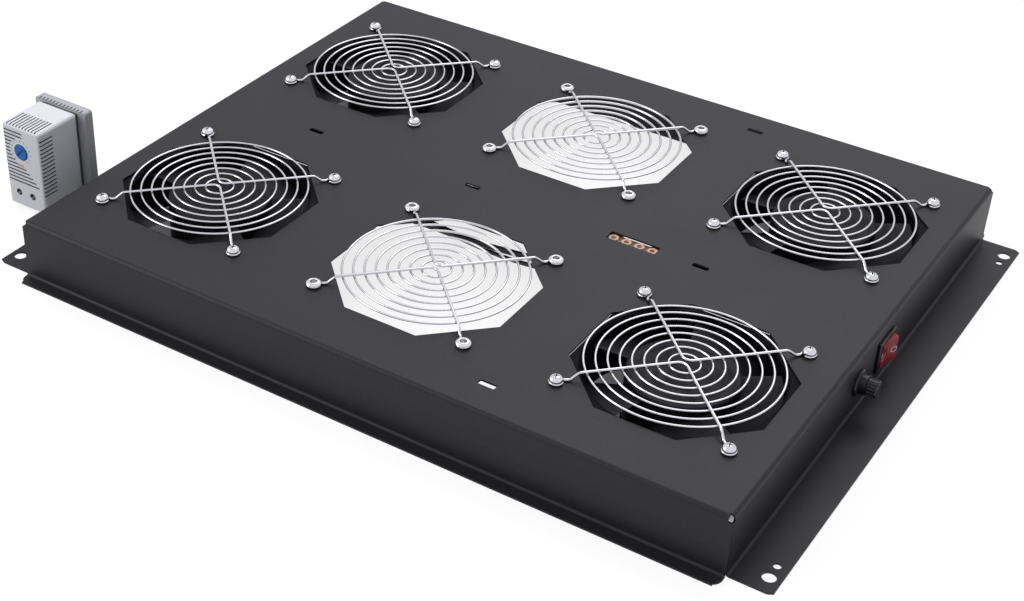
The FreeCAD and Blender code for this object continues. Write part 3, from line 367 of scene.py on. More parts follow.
class WireBender:
    """Bends a round wire by straight runs and arcs, as a bending machine does."""

    def __init__(self, name: str, start: Vector, direction: Vector, radius: float, sides: int = 12) -> None:
        """Lays the wire's first ring.

        Args:
            name: the object's name.
            start: middle of the wire's end.
            direction: which way the wire runs there.
            radius: the wire's radius.
            sides: points round the wire.
        """
        self.place = start.copy()
        self.heading = direction.normalized()
        self.radius = radius
        deselect_all()
        bpy.ops.mesh.primitive_circle_add(vertices=sides, radius=radius, fill_type="NOTHING")
        self.obj = named(name)
        self.obj.rotation_mode = "QUATERNION"
        self.obj.rotation_quaternion = self.heading.to_track_quat("Z", "Y")
        self.obj.location = start
        settle(self.obj)
        bpy.ops.object.mode_set(mode="EDIT")
        bpy.ops.mesh.select_all(action="SELECT")

    def straight(self, length: float) -> None:
        """Runs the wire on by a length.

        Args:
            length: how far it runs.
        """
        step = self.heading * length
        bpy.ops.mesh.extrude_region_move(TRANSFORM_OT_translate={"value": step})
        self.place += step

    def bend(self, degrees: float, radius: float, axis: Vector) -> None:
        """Bends the wire about an axis, by the right-hand rule.

        Args:
            degrees: how far it turns.
            radius: radius of the wire's middle line.
            axis: direction of the bend's axis.
        """
        axis = axis.normalized() * math.copysign(1.0, degrees)
        centre = self.place + axis.cross(self.heading) * radius
        angle = math.radians(abs(degrees))
        steps = max(2, round(abs(degrees) / 12))
        bpy.ops.mesh.spin(steps=steps, angle=-angle, center=centre, axis=axis, dupli=False)
        turn = Quaternion(axis, angle)
        self.place = centre + turn @ (self.place - centre)
        self.heading = turn @ self.heading

    def cut_off(self) -> Piece:
        """Closes both ends of the wire.

        Returns:
            The finished wire.
        """
        bpy.ops.mesh.select_all(action="SELECT")
        bpy.ops.mesh.remove_doubles(threshold=TOUCHING)
        bpy.ops.mesh.select_all(action="DESELECT")
        bpy.ops.mesh.select_non_manifold()
        bpy.ops.mesh.fill_holes(sides=64)
        bpy.ops.mesh.select_all(action="SELECT")
        bpy.ops.mesh.normals_make_consistent(inside=False)
        bpy.ops.object.mode_set(mode="OBJECT")
        return self.obj


# ---------------------------------------------------------------- shader helpers
class Sheet:
    """Node tree of one material or group, with short ways to add and join its nodes."""

    def __init__(self, tree: bpy.types.NodeTree) -> None:
        """Keeps the tree to work on."""
        self.tree = tree

    def add(self, kind: str, **inputs: object) -> bpy.types.Node:
        """Adds a node and sets inputs or properties of it by name.

        Args:
            kind: the node's type.
            **inputs: an input's name with spaces as underscores, or a property; a socket is linked.

        Returns:
            The new node.
        """
        node = self.tree.nodes.new(kind)
        for key, value in inputs.items():
            label = key.replace("_", " ")
            if isinstance(value, Socket):
                self.tree.links.new(value, node.inputs[label])
            elif label in node.inputs:
                node.inputs[label].default_value = value
            else:
                setattr(node, key, value)
        return node

    def join(self, source: Socket, target: Socket) -> None:
        """Links two sockets."""
        self.tree.links.new(source, target)

    def math(self, operation: str, *values: object) -> Socket:
        """Adds a math node.

        Args:
            operation: what it does.
            *values: its inputs in order, numbers or sockets.

        Returns:
            Its output.
        """
        node = self.tree.nodes.new("ShaderNodeMath")
        node.operation = operation
        for socket, value in zip(node.inputs, values):
            if isinstance(value, Socket):
                self.join(value, socket)
            else:
                socket.default_value = value
        return node.outputs[0]

    def mix(self, share: object, first: object, second: object) -> Socket:
        """Mixes two colours.

        Args:
            share: how much of the second, a number or a socket.
            first: colour or socket.
            second: colour or socket.

        Returns:
            The mixed colour.
        """
        node = self.tree.nodes.new("ShaderNodeMix")
        node.data_type = "RGBA"
        for socket, value in ((node.inputs[0], share), (node.inputs[6], first), (node.inputs[7], second)):
            if isinstance(value, Socket):
                self.join(value, socket)
            elif isinstance(value, (int, float)):
                socket.default_value = value
            else:
                socket.default_value = (*value, 1.0)
        return node.outputs[2]

    def ramp(self, value: Socket, low: float, high: float) -> Socket:
        """Stretches a value so that low becomes 0 and high becomes 1, clamped."""
        node = self.add("ShaderNodeMapRange", clamp=True, From_Min=low, From_Max=high, Value=value)
        return node.outputs["Result"]

    def noise(self, scale: float, detail: float = 2.0, where: Socket | None = None,
              distortion: float = 0.0) -> Socket:
        """Adds noise over the object's own coordinates.

        Args:
            scale: cells to a metre.
            detail: octaves.
            where: coordinates to use instead.
            distortion: how warped it is.

        Returns:
            Its value.
        """
        where = where or self.place()
        node = self.add("ShaderNodeTexNoise", Scale=scale, Detail=detail, Vector=where, Distortion=distortion)
        return node.outputs["Fac"]

    def seen(self) -> Socket:
        """Tells rays that show a surface from rays that light one.

        Returns:
            1 for rays from the camera, off gloss and through clear pieces, and 0 for the others.
        """
        path = self.add("ShaderNodeLightPath").outputs
        bounced = self.math("MAXIMUM", path["Is Glossy Ray"], path["Is Transmission Ray"])
        return self.math("MAXIMUM", path["Is Camera Ray"], bounced)

    def place(self) -> Socket:
        """The object's own coordinates."""
        return self.add("ShaderNodeTexCoord").outputs["Object"]


def new_group(name: str, inputs: Sequence[tuple[str, str, object]],
              outputs: Sequence[tuple[str, str]]) -> Sheet:
    """Makes an empty shader group with its sockets.

    Args:
        name: the group's name.
        inputs: name, "Color" or "Float", and default of each input.
        outputs: name and type of each output.

    Returns:
        The group's sheet, with its input and output nodes added.
    """
    tree = bpy.data.node_groups.new(name, "ShaderNodeTree")
    for label, kind, default in inputs:
        socket = tree.interface.new_socket(label, in_out="INPUT", socket_type="NodeSocket" + kind)
        socket.default_value = default
    for label, kind in outputs:
        tree.interface.new_socket(label, in_out="OUTPUT", socket_type="NodeSocket" + kind)
    tree.nodes.new("NodeGroupInput")
    tree.nodes.new("NodeGroupOutput")
    return Sheet(tree)


def grain_group() -> bpy.types.NodeTree:
    """Fine surface grain with slow changes of tone, shared by all finishes.

    Returns:
        The group: colour and roughness that vary, and a height for a bump.
    """
    found = bpy.data.node_groups.get("surface_grain")
    if found is not None:
        return found
    sheet = new_group(
        "surface_grain",
        [("Color", "Color", (0.5, 0.5, 0.5, 1)), ("Tone", "Float", 0.1), ("Grain Scale", "Float", 1500.0),
         ("Roughness", "Float", 0.5), ("Spread", "Float", 0.08)],
        [("Color", "Color"), ("Roughness", "Float"), ("Height", "Float")],
    )
    given = sheet.tree.nodes["Group Input"].outputs
    taken = sheet.tree.nodes["Group Output"].inputs
    where = sheet.place()
    cloud = sheet.noise(22.0, 3.0, where)
    scale = given["Grain Scale"]
    grain = sheet.add("ShaderNodeTexNoise", Scale=scale, Detail=2.0, Vector=where).outputs["Fac"]
    cells = sheet.add("ShaderNodeTexVoronoi", Scale=scale, Vector=where).outputs["Distance"]
    both = sheet.math("ADD", sheet.math("MULTIPLY", cloud, 0.6), sheet.math("MULTIPLY", grain, 0.4))
    swing = sheet.math("MULTIPLY", sheet.math("SUBTRACT", both, 0.5), given["Tone"])
    bright = sheet.add("ShaderNodeHueSaturation", Color=given["Color"], Value=sheet.math("ADD", swing, 1.0))
    sheet.join(bright.outputs["Color"], taken["Color"])
    drift = sheet.math("SUBTRACT", cloud, 0.5)
    change = sheet.math("MULTIPLY", drift, sheet.math("MULTIPLY", given["Spread"], 2.0))
    sheet.join(sheet.math("ADD", given["Roughness"], change), taken["Roughness"])
    sheet.join(sheet.math("SUBTRACT", grain, sheet.math("MULTIPLY", cells, 0.5)), taken["Height"])
    return sheet.tree


def dust_group() -> bpy.types.NodeTree:
    """Sparse dust specks and faint rubbed marks, shared by the larger surfaces.

    Returns:
        The group: colour and roughness with the marks on them.
    """
    found = bpy.data.node_groups.get("dust_and_rubs")
    if found is not None:
        return found
    sheet = new_group(
        "dust_and_rubs",
        [("Color", "Color", (0.5, 0.5, 0.5, 1)), ("Mark Color", "Color", (0.6, 0.6, 0.6, 1)),
         ("Roughness", "Float", 0.5), ("Amount", "Float", 0.2)],
        [("Color", "Color"), ("Roughness", "Float")],
    )
    given = sheet.tree.nodes["Group Input"].outputs
    taken = sheet.tree.nodes["Group Output"].inputs
    where = sheet.place()
    specks = sheet.ramp(sheet.noise(900.0, 1.0, where), 0.74, 0.8)
    stretched = sheet.add("ShaderNodeMapping", Vector=where, Scale=(1.0, 14.0, 6.0), Rotation=(0.2, 0.1, 0.7))
    rubs = sheet.ramp(sheet.noise(60.0, 4.0, stretched.outputs["Vector"], 0.6), 0.68, 0.8)
    both = sheet.math("MAXIMUM", specks, sheet.math("MULTIPLY", rubs, 0.5))
    marks = sheet.math("MULTIPLY", both, given["Amount"])
    sheet.join(sheet.mix(marks, given["Color"], given["Mark Color"]), taken["Color"])
    rough = sheet.math("ADD", given["Roughness"], sheet.math("MULTIPLY", marks, 0.2))
    sheet.join(rough, taken["Roughness"])
    return sheet.tree


# ---------------------------------------------------------------- finishes
@dataclass(frozen=True)
class Finish:
    """A surface finish: a colour with fine grain, a sheen and a little dust."""

    label: str
    colour: Colour
    roughness: float = 0.5
    metallic: float = 0.0
    tone: float = 0.25
    spread: float = 0.06
    grain: float = 1500.0
    relief: float = 0.00002
    dust: float = 0.0
    dust_colour: Colour = (0.5, 0.5, 0.5)
    specular: float = 0.5
    coat: float = 0.0

    def dress(self, sheet: Sheet, shader: bpy.types.Node, colour: Socket) -> Socket:
        """Lets a finish of its own change the colour; the plain one leaves it.

        Args:
            sheet: the material's sheet.
            shader: its Principled BSDF.
            colour: colour with grain.

        Returns:
            The colour to use.
        """
        return colour

    def material(self) -> bpy.types.Material:
        """The finish as a material, made once.

        Returns:
            The material.
        """
        name = self.label + "_surface"
        found = bpy.data.materials.get(name)
        if found is not None:
            return found
        made = bpy.data.materials.new(name)
        made.use_nodes = True
        sheet = Sheet(made.node_tree)
        shader = made.node_tree.nodes["Principled BSDF"]
        for label, value in (("Metallic", self.metallic), ("Specular IOR Level", self.specular),
                             ("Coat Weight", self.coat), ("Coat Roughness", COAT_ROUGHNESS)):
            shader.inputs[label].default_value = value
        grain = sheet.add("ShaderNodeGroup", node_tree=grain_group(), Color=(*self.colour, 1.0),
                          Tone=self.tone,
                          Grain_Scale=self.grain, Roughness=self.roughness, Spread=self.spread)
        colour = self.dress(sheet, shader, grain.outputs["Color"])
        rough = grain.outputs["Roughness"]
        if self.dust > 0:
            dust = sheet.add("ShaderNodeGroup", node_tree=dust_group(), Color=colour, Roughness=rough,
                             Mark_Color=(*self.dust_colour, 1.0), Amount=self.dust)
            colour, rough = dust.outputs["Color"], dust.outputs["Roughness"]
        sheet.join(colour, shader.inputs["Base Color"])
        sheet.join(rough, shader.inputs["Roughness"])
        bump = sheet.add("ShaderNodeBump", Strength=BUMP_STRENGTH, Distance=self.relief,
                         Height=grain.outputs["Height"])
        sheet.join(bump.outputs["Normal"], shader.inputs["Normal"])
        return made


@dataclass(frozen=True)
class ClearPlastic(Finish):
    """Coloured plastic that lets some light through."""

    through: float = 0.2
    scatter: float = 0.15
    scatter_reach: Colour = (0.004, 0.0008, 0.0008)
    scatter_scale: float = 0.5

    def dress(self, sheet: Sheet, shader: bpy.types.Node, colour: Socket) -> Socket:
        """Adds the light that passes through.

        Args:
            sheet: the material's sheet.
            shader: its Principled BSDF.
            colour: colour with grain.

        Returns:
            The colour to use.
        """
        shader.inputs["Transmission Weight"].default_value = self.through
        shader.inputs["Subsurface Weight"].default_value = self.scatter
        shader.inputs["Subsurface Radius"].default_value = self.scatter_reach
        shader.inputs["Subsurface Scale"].default_value = self.scatter_scale
        return colour


@dataclass(frozen=True)
class PowderCoat(Finish):
    """Textured powder coat: fine lumps, with a painted highlight, a lighter colour on the crowns of some
    lumps, standing in for the light that they catch one by one.
    """

    pitch: float = 0.0009
    painted_highlight: float = 0.03
    lump_edges: tuple[float, float] = (0.42, 0.08)
    lump_choice: tuple[float, float] = (0.55, 0.9)
    lump_cover: float = 0.7

    def dress(self, sheet: Sheet, shader: bpy.types.Node, colour: Socket) -> Socket:
        """Adds a painted highlight: the crowns of some lumps get a lighter colour, in place of the light that
        they catch.

        Args:
            sheet: the material's sheet.
            shader: its Principled BSDF.
            colour: colour with grain.

        Returns:
            The colour to use.
        """
        lumps = sheet.add("ShaderNodeTexVoronoi", Scale=1.0 / self.pitch, Vector=sheet.place())
        # Painted highlight: mask of the lumps' crowns, which are made lighter in colour.
        painted_highlight_crowns = sheet.ramp(lumps.outputs["Distance"], *self.lump_edges)
        lot = sheet.add("ShaderNodeSeparateColor", Color=lumps.outputs["Color"]).outputs[0]
        chosen = sheet.ramp(lot, *self.lump_choice)
        share = sheet.math("MULTIPLY", sheet.math("MULTIPLY", painted_highlight_crowns, chosen), self.lump_cover)
        return sheet.mix(share, colour, tuple(c + self.painted_highlight for c in self.colour))


@dataclass(frozen=True)
class CastLacquer(Finish):
    """Black lacquer on a die casting, with the flow marks of the casting."""

    flow_scale: float = 140.0
    flow_edges: tuple[float, float] = (0.55, 0.8)
    flow_cover: float = 0.35
    flow_paler: float = 2.2

    def dress(self, sheet: Sheet, shader: bpy.types.Node, colour: Socket) -> Socket:
        """Adds paler flow marks.

        Args:
            sheet: the material's sheet.
            shader: its Principled BSDF.
            colour: colour with grain.

        Returns:
            The colour to use.
        """
        flow = sheet.ramp(sheet.noise(self.flow_scale, 4.0, None, 1.5), *self.flow_edges)
        paler = tuple(self.flow_paler * c for c in self.colour)
        return sheet.mix(sheet.math("MULTIPLY", flow, self.flow_cover), colour, paler)


@dataclass(frozen=True)
class Windings(Finish):
    """Varnished laminations, with copper showing between them."""

    pitch: float = 0.0007
    line_edges: tuple[float, float] = (0.2, 0.9)
    line_cover: float = 0.6
    copper: Colour = (0.32, 0.12, 0.04)

    def dress(self, sheet: Sheet, shader: bpy.types.Node, colour: Socket) -> Socket:
        """Adds the lines of the sheets.

        Args:
            sheet: the material's sheet.
            shader: its Principled BSDF.
            colour: colour with grain.

        Returns:
            The colour to use.
        """
        height = sheet.add("ShaderNodeSeparateXYZ", Vector=sheet.place()).outputs["Z"]
        wave = sheet.math("SINE", sheet.math("MULTIPLY", height, 2 * math.pi / self.pitch))
        lines = sheet.ramp(wave, *self.line_edges)
        return sheet.mix(sheet.math("MULTIPLY", lines, self.line_cover), colour, self.copper)


class Finishes:
    """All finishes of the tray and its parts."""

    POWDER = PowderCoat("black_powder_coat", (0.013, 0.0125, 0.0155), 0.48, tone=0.3, spread=0.05,
                        grain=1300.0, relief=0.00007, dust=0.05, dust_colour=(0.10, 0.10,
                                                                              0.10), specular=0.28)
    WIRE = Finish("chromed_wire", (0.63, 0.63, 0.64), 0.12, metallic=1.0, tone=0.10, spread=0.08,
                  grain=2600.0, relief=0.000006)
    SCREW = Finish("nickel_screw", (0.68, 0.68, 0.70), 0.08, metallic=1.0, tone=0.12, spread=0.08,
                   grain=3000.0, relief=0.000005)
    RIVET = Finish("rivet_steel", (0.70, 0.70, 0.71), 0.26, metallic=1.0, tone=0.16, spread=0.1, grain=2400.0,
                   relief=0.000008)
    CASTING = CastLacquer("black_cast_aluminium", (0.005, 0.005, 0.006), 0.55, tone=0.3, spread=0.1,
                          grain=1100.0, relief=0.00008, specular=0.05)
    BLACK = Finish("black_plastic", (0.010, 0.010, 0.011), 0.3, tone=0.25, spread=0.06, grain=2200.0,
                   relief=0.00001, dust=0.05, dust_colour=(0.12, 0.12, 0.12), specular=0.35)
    FAN_BLACK = Finish("fan_plastic", (0.010, 0.010, 0.011), 0.42, tone=0.25, spread=0.08, grain=1800.0,
                       relief=0.00002, dust=0.06, dust_colour=(0.10, 0.10, 0.10), specular=0.12)
    BRONZE = Finish("sintered_bronze", (0.42, 0.27, 0.11), 0.45, metallic=1.0, tone=0.3, grain=4000.0,
                    relief=0.00002)
    STATOR = Windings("stator_steel", (0.10, 0.07, 0.05), 0.45, metallic=0.4, tone=0.3, grain=900.0)
    RED = ClearPlastic("red_rocker", (0.34, 0.004, 0.016), 0.3, tone=0.12, grain=900.0, relief=0.000006,
                       specular=0.3, through=0.12)
    WHITE_INK = Finish("white_ink", (0.78, 0.78, 0.76), 0.5, tone=0.06, grain=4000.0, relief=0.000003)
    DARK_INK = Finish("dark_ink", (0.05, 0.05, 0.055), 0.5, tone=0.1, grain=4000.0, relief=0.000003)
    TINNED = Finish("tinned_brass", (0.66, 0.62, 0.52), 0.32, metallic=1.0, tone=0.2, grain=1800.0,
                    relief=0.00001)
    BEIGE = Finish("beige_plastic", (0.56, 0.36, 0.25), 0.48, tone=0.18, grain=1600.0, relief=0.00001)
    RUBBER = Finish("black_rubber", (0.014, 0.014, 0.014), 0.55, tone=0.25, grain=2600.0, relief=0.00001)
    LIGHT_GREY = Finish("light_grey_plastic", (0.70, 0.71, 0.735), 0.46, tone=0.06, spread=0.05, grain=2600.0,
                        relief=0.000012, dust=0.05, dust_colour=(0.3, 0.3, 0.3))
    MID_GREY = Finish("mid_grey_plastic", (0.42, 0.425, 0.44), 0.48, tone=0.08, spread=0.05, grain=2600.0,
                      relief=0.000012)
    BLUE = Finish("blue_plastic", (0.002, 0.125, 0.44), 0.35, tone=0.12, grain=2000.0, relief=0.000006,
                  specular=0.25)
    # Dark colour for painted shade in the screws' recesses and the thermostat's grooves.
    GROOVE = Finish("groove_grey", (0.07, 0.075, 0.085), 0.6, tone=0.2, grain=2600.0, relief=0.00001)
    GLASS = ClearPlastic("fuse_glass", (0.78, 0.82, 0.82), 0.1, tone=0.04, grain=900.0, relief=0.000002,
                         through=0.8)

    @classmethod
    def of_slot(cls, slot: str) -> Finish:
        """Finish that has the name of a material slot of the record.

        Args:
            slot: the slot's name.

        Returns:
            The finish.
        """
        return next(f for f in vars(cls).values() if isinstance(f, Finish) and f.label == slot)


def paint(obj: Piece, finish: Finish) -> Piece:
    """Gives an object one finish all over.

    Args:
        obj: the object.
        finish: its finish.

    Returns:
        The same object.
    """
    obj.data.materials.clear()
    obj.data.materials.append(finish.material())
    return obj


def mount(obj: Piece, finish: Finish, body: str, stands_for: Sequence[str] = ()) -> Piece:
    """Finishes a new piece, lets it ride on a body and names what it stands for.

    Args:
        obj: the piece, in place.
        finish: its finish.
        body: the CAD body that it moves with.
        stands_for: CAD nodes that it replaces.

    Returns:
        The piece.
    """
    paint(obj, finish)
    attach(obj, body)
    if stands_for:
        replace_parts(obj, *stands_for)
    LOG.info("piece %s on %s", obj.name, body)
    return obj


# ---------------------------------------------------------------- the record's nodes
NODES: dict[str, Piece] = frame["nodes"]
BODY_OF: dict[str, str] = {
    node: body for body, nodes in frame["record"]["behaviour"]["bodies"].items() for node in nodes
}
SLOT_OF: dict[str, str] = {row["node"]: row["material_slot"] for row in frame["record"]["subparts"]}


class Row(Enum):
    """The two rows of fan positions, with the sign of their Y."""

    FRONT = -1
    REAR = 1


class Column(Enum):
    """The three columns of fan positions, with the sign of their X."""

    LEFT = -1
    MIDDLE = 0
    RIGHT = 1


def tag(row: Row, column: Column) -> str:
    """Name ending of a fan position."""
    return f"{row.name.lower()}_{column.name.lower()}"


def middle_of(node: str) -> Vector:
    """Middle of a CAD node's box."""
    low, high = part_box(node)
    return (low + high) / 2


def refined(node: str, degrees: float = 35.0, edge: float = 0.0) -> Piece:
    """Copy of a CAD node with merged points, smooth curves and, if wanted, broken edges.

    Args:
        node: the CAD node.
        degrees: edges sharper than this stay sharp.
        edge: width of the broken edges, or 0.

    Returns:
        The copy, which stands for the node.
    """
    source = NODES[node]
    activate(source)
    bpy.ops.object.duplicate(linked=False)
    copy = named(node + "_finished")
    for key in [k for k in copy.keys() if k.startswith("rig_")]:
        del copy[key]
    copy.parent = None
    with editing(copy):
        bpy.ops.mesh.select_all(action="SELECT")
        bpy.ops.mesh.remove_doubles(threshold=2e-6)
        bpy.ops.mesh.customdata_custom_splitnormals_clear()
        bpy.ops.mesh.dissolve_limited(angle_limit=math.radians(0.5), delimit={"NORMAL"})
    if edge > 0:
        modify(copy, "BEVEL", width=edge, segments=2, limit_method="ANGLE", angle_limit=math.radians(degrees),
               harden_normals=False)
    smooth(copy, degrees)
    mount(copy, Finishes.of_slot(SLOT_OF[node]), BODY_OF[node], [node])
    return copy


# ---------------------------------------------------------------- wire guards and their fixings
@dataclass
class FingerGuard:
    """Welded wire guard: rings under two bent wires that end in hooks."""

    row: Row
    column: Column
    ring_count: int = 8
    first_radius: float = 9.0 * MM
    ring_step: float = 6.8 * MM
    ring_wire: float = 0.72 * MM
    arm_wire: float = 0.9 * MM
    plane: float = 44.4 * MM
    arm_low: float = 42.0 * MM
    arm_high: float = 45.95 * MM
    step_outer: float = 66.0 * MM
    step_inner: float = 61.0 * MM
    centre_bend: float = 5.0 * MM
    eyelet: float = 105.0 / math.sqrt(2) * MM
    hook_radius: float = 3.7 * MM
    hook_fillet: float = 4.0 * MM
    hook_sweep: float = 296.0
    step_bend: float = 3.0 * MM
    wire_sides: int = 10
    weld_rise: float = 0.75 * MM
    weld_radius: float = 1.15 * MM
    weld_turn: float = 0.4
    weld_shape: tuple[float, float, float] = (1.0, 0.9, 0.42)

    @property
    def hook_reach(self) -> float:
        """From the hook's middle to the middle of its fillet."""
        return self.hook_radius + self.hook_fillet

    @property
    def hook_length(self) -> float:
        """From the hook's middle to the start of its fillet, along the arm."""
        return math.sqrt(self.hook_reach**2 - self.hook_fillet**2)

    @property
    def climb(self) -> float:
        """Slope of a step, in degrees."""
        return math.degrees(math.atan2(self.arm_high - self.arm_low, self.step_outer - self.step_inner))

    @property
    def tangent(self) -> float:
        """What a step's bend takes from the straight run on each side of it."""
        return self.step_bend * math.tan(math.radians(self.climb / 2))

    def hook(self, wire: WireBender, hand: int) -> None:
        """Bends the hook at the start or the end of a wire.

        Args:
            wire: the wire, whose heading lies along its arm.
            hand: 1 where the wire leaves a hook, -1 where it ends in one.
        """
        turn = math.degrees(math.acos(self.hook_fillet / self.hook_reach))
        bends = [(self.hook_sweep, self.hook_radius, -UP), (turn, self.hook_fillet, UP)]
        for degrees, radius, axis in bends[::hand]:
            wire.bend(degrees, radius, axis)

    def step(self, wire: WireBender, hand: int) -> None:
        """Bends a step between the low end of an arm and its high middle.

        Args:
            wire: the wire, whose heading lies along its arm.
            hand: 1 to climb, -1 to come down.
        """
        across = wire.heading.cross(UP)
        slope = math.hypot(self.arm_high - self.arm_low, self.step_outer - self.step_inner)
        wire.bend(hand * self.climb, self.step_bend, across)
        wire.straight(slope - 2 * self.tangent)
        wire.bend(-hand * self.climb, self.step_bend, across)

    def hook_start(self, toward: Vector) -> tuple[Vector, Vector]:
        """Where a wire begins, so that its hook ends in line with its arm.

        Args:
            toward: unit vector from the hook's middle to the guard's middle.

        Returns:
            The start point, relative to the hook's middle, and the heading there.
        """
        side = Vector((-toward.y, toward.x, 0))
        share = self.hook_radius / self.hook_reach
        meet = toward * (self.hook_length * share) + side * (self.hook_fillet * share)
        start = Quaternion(UP, math.radians(self.hook_sweep)) @ meet
        heading = Vector((start.y, -start.x, 0)).normalized()
        return start, heading

    def arm(self, name: str, side: int) -> Piece:
        """One bent wire with a hook at each end.

        Args:
            name: the object's name.
            side: -1 for the front wire, 1 for the rear one.

        Returns:
            The wire, for a guard whose middle is the origin.
        """
        out = math.sqrt(0.5)
        inward = Vector((out, -side * out, 0))
        centre = -inward * self.eyelet + Vector((0, 0, self.arm_low))
        start, heading = self.hook_start(inward)
        wire = WireBender(name, centre + start, heading, self.arm_wire, self.wire_sides)
        self.hook(wire, 1)
        gone = (wire.place - centre).dot(inward)
        wire.heading = inward.copy()
        wire.straight(self.eyelet - self.step_outer - gone - self.tangent)
        self.step(wire, 1)
        # The bend in the middle turns by 90 degrees round a point on the guard's side.
        wire.straight(self.step_inner - self.tangent - self.centre_bend)
        wire.bend(90 * side, self.centre_bend, UP)
        wire.straight(self.step_inner - self.tangent - self.centre_bend)
        self.step(wire, -1)
        wire.straight(self.eyelet - self.hook_length - self.step_outer - self.tangent)
        self.hook(wire, -1)
        return wire.cut_off()

    def ring(self, name: str, radius: float) -> Piece:
        """One ring of the guard.

        Args:
            name: the object's name.
            radius: radius of the wire's middle line.

        Returns:
            The ring.
        """
        deselect_all()
        around = 48 + 12 * round(radius / (8 * MM))
        bpy.ops.mesh.primitive_torus_add(major_radius=radius, minor_radius=self.ring_wire,
                                         major_segments=around, minor_segments=self.wire_sides,
                                         location=(0, 0, self.plane))
        return settle(named(name))

    def weld(self, name: str, radius: float, angle: float) -> Piece:
        """Small flattened bead where a ring is welded to a wire.

        Args:
            name: the object's name.
            radius: radius of the ring.
            angle: where round the ring the wire crosses it.

        Returns:
            The bead.
        """
        deselect_all()
        place = (radius * math.cos(angle), radius * math.sin(angle), self.plane + self.weld_rise)
        bpy.ops.mesh.primitive_uv_sphere_add(segments=8, ring_count=5, radius=self.weld_radius,
                                             location=place,
                                             rotation=(0, 0, angle + self.weld_turn), scale=self.weld_shape)
        return settle(named(name))

    def build(self) -> Piece:
        """Builds the guard at the origin.

        Returns:
            The guard as one object.
        """
        parts = [self.arm("guard_front_wire", -1), self.arm("guard_rear_wire", 1)]
        for index in range(self.ring_count):
            radius = self.first_radius + index * self.ring_step
            parts.append(self.ring(f"guard_ring_{index}", radius))
            for quarter in range(4):
                angle = math.pi / 4 + quarter * math.pi / 2
                parts.append(self.weld(f"guard_weld_{index}_{quarter}", radius, angle))
        return smooth(join(parts, "guard_master"), 50.0, weighted=False)

    def set_in_place(self, master: Piece) -> Piece:
        """Copies the built guard over its opening.

        Args:
            master: the guard at the origin.

        Returns:
            The guard in place.
        """
        node = "finger_guard_" + tag(self.row, self.column)
        middle = middle_of(node)
        guard = copied(master, "wire_guard_" + tag(self.row, self.column), Vector((middle.x, middle.y, 0)))
        return mount(guard, Finishes.WIRE, BODY_OF[node], [node, node.replace("finger_guard", "guard_wires")])


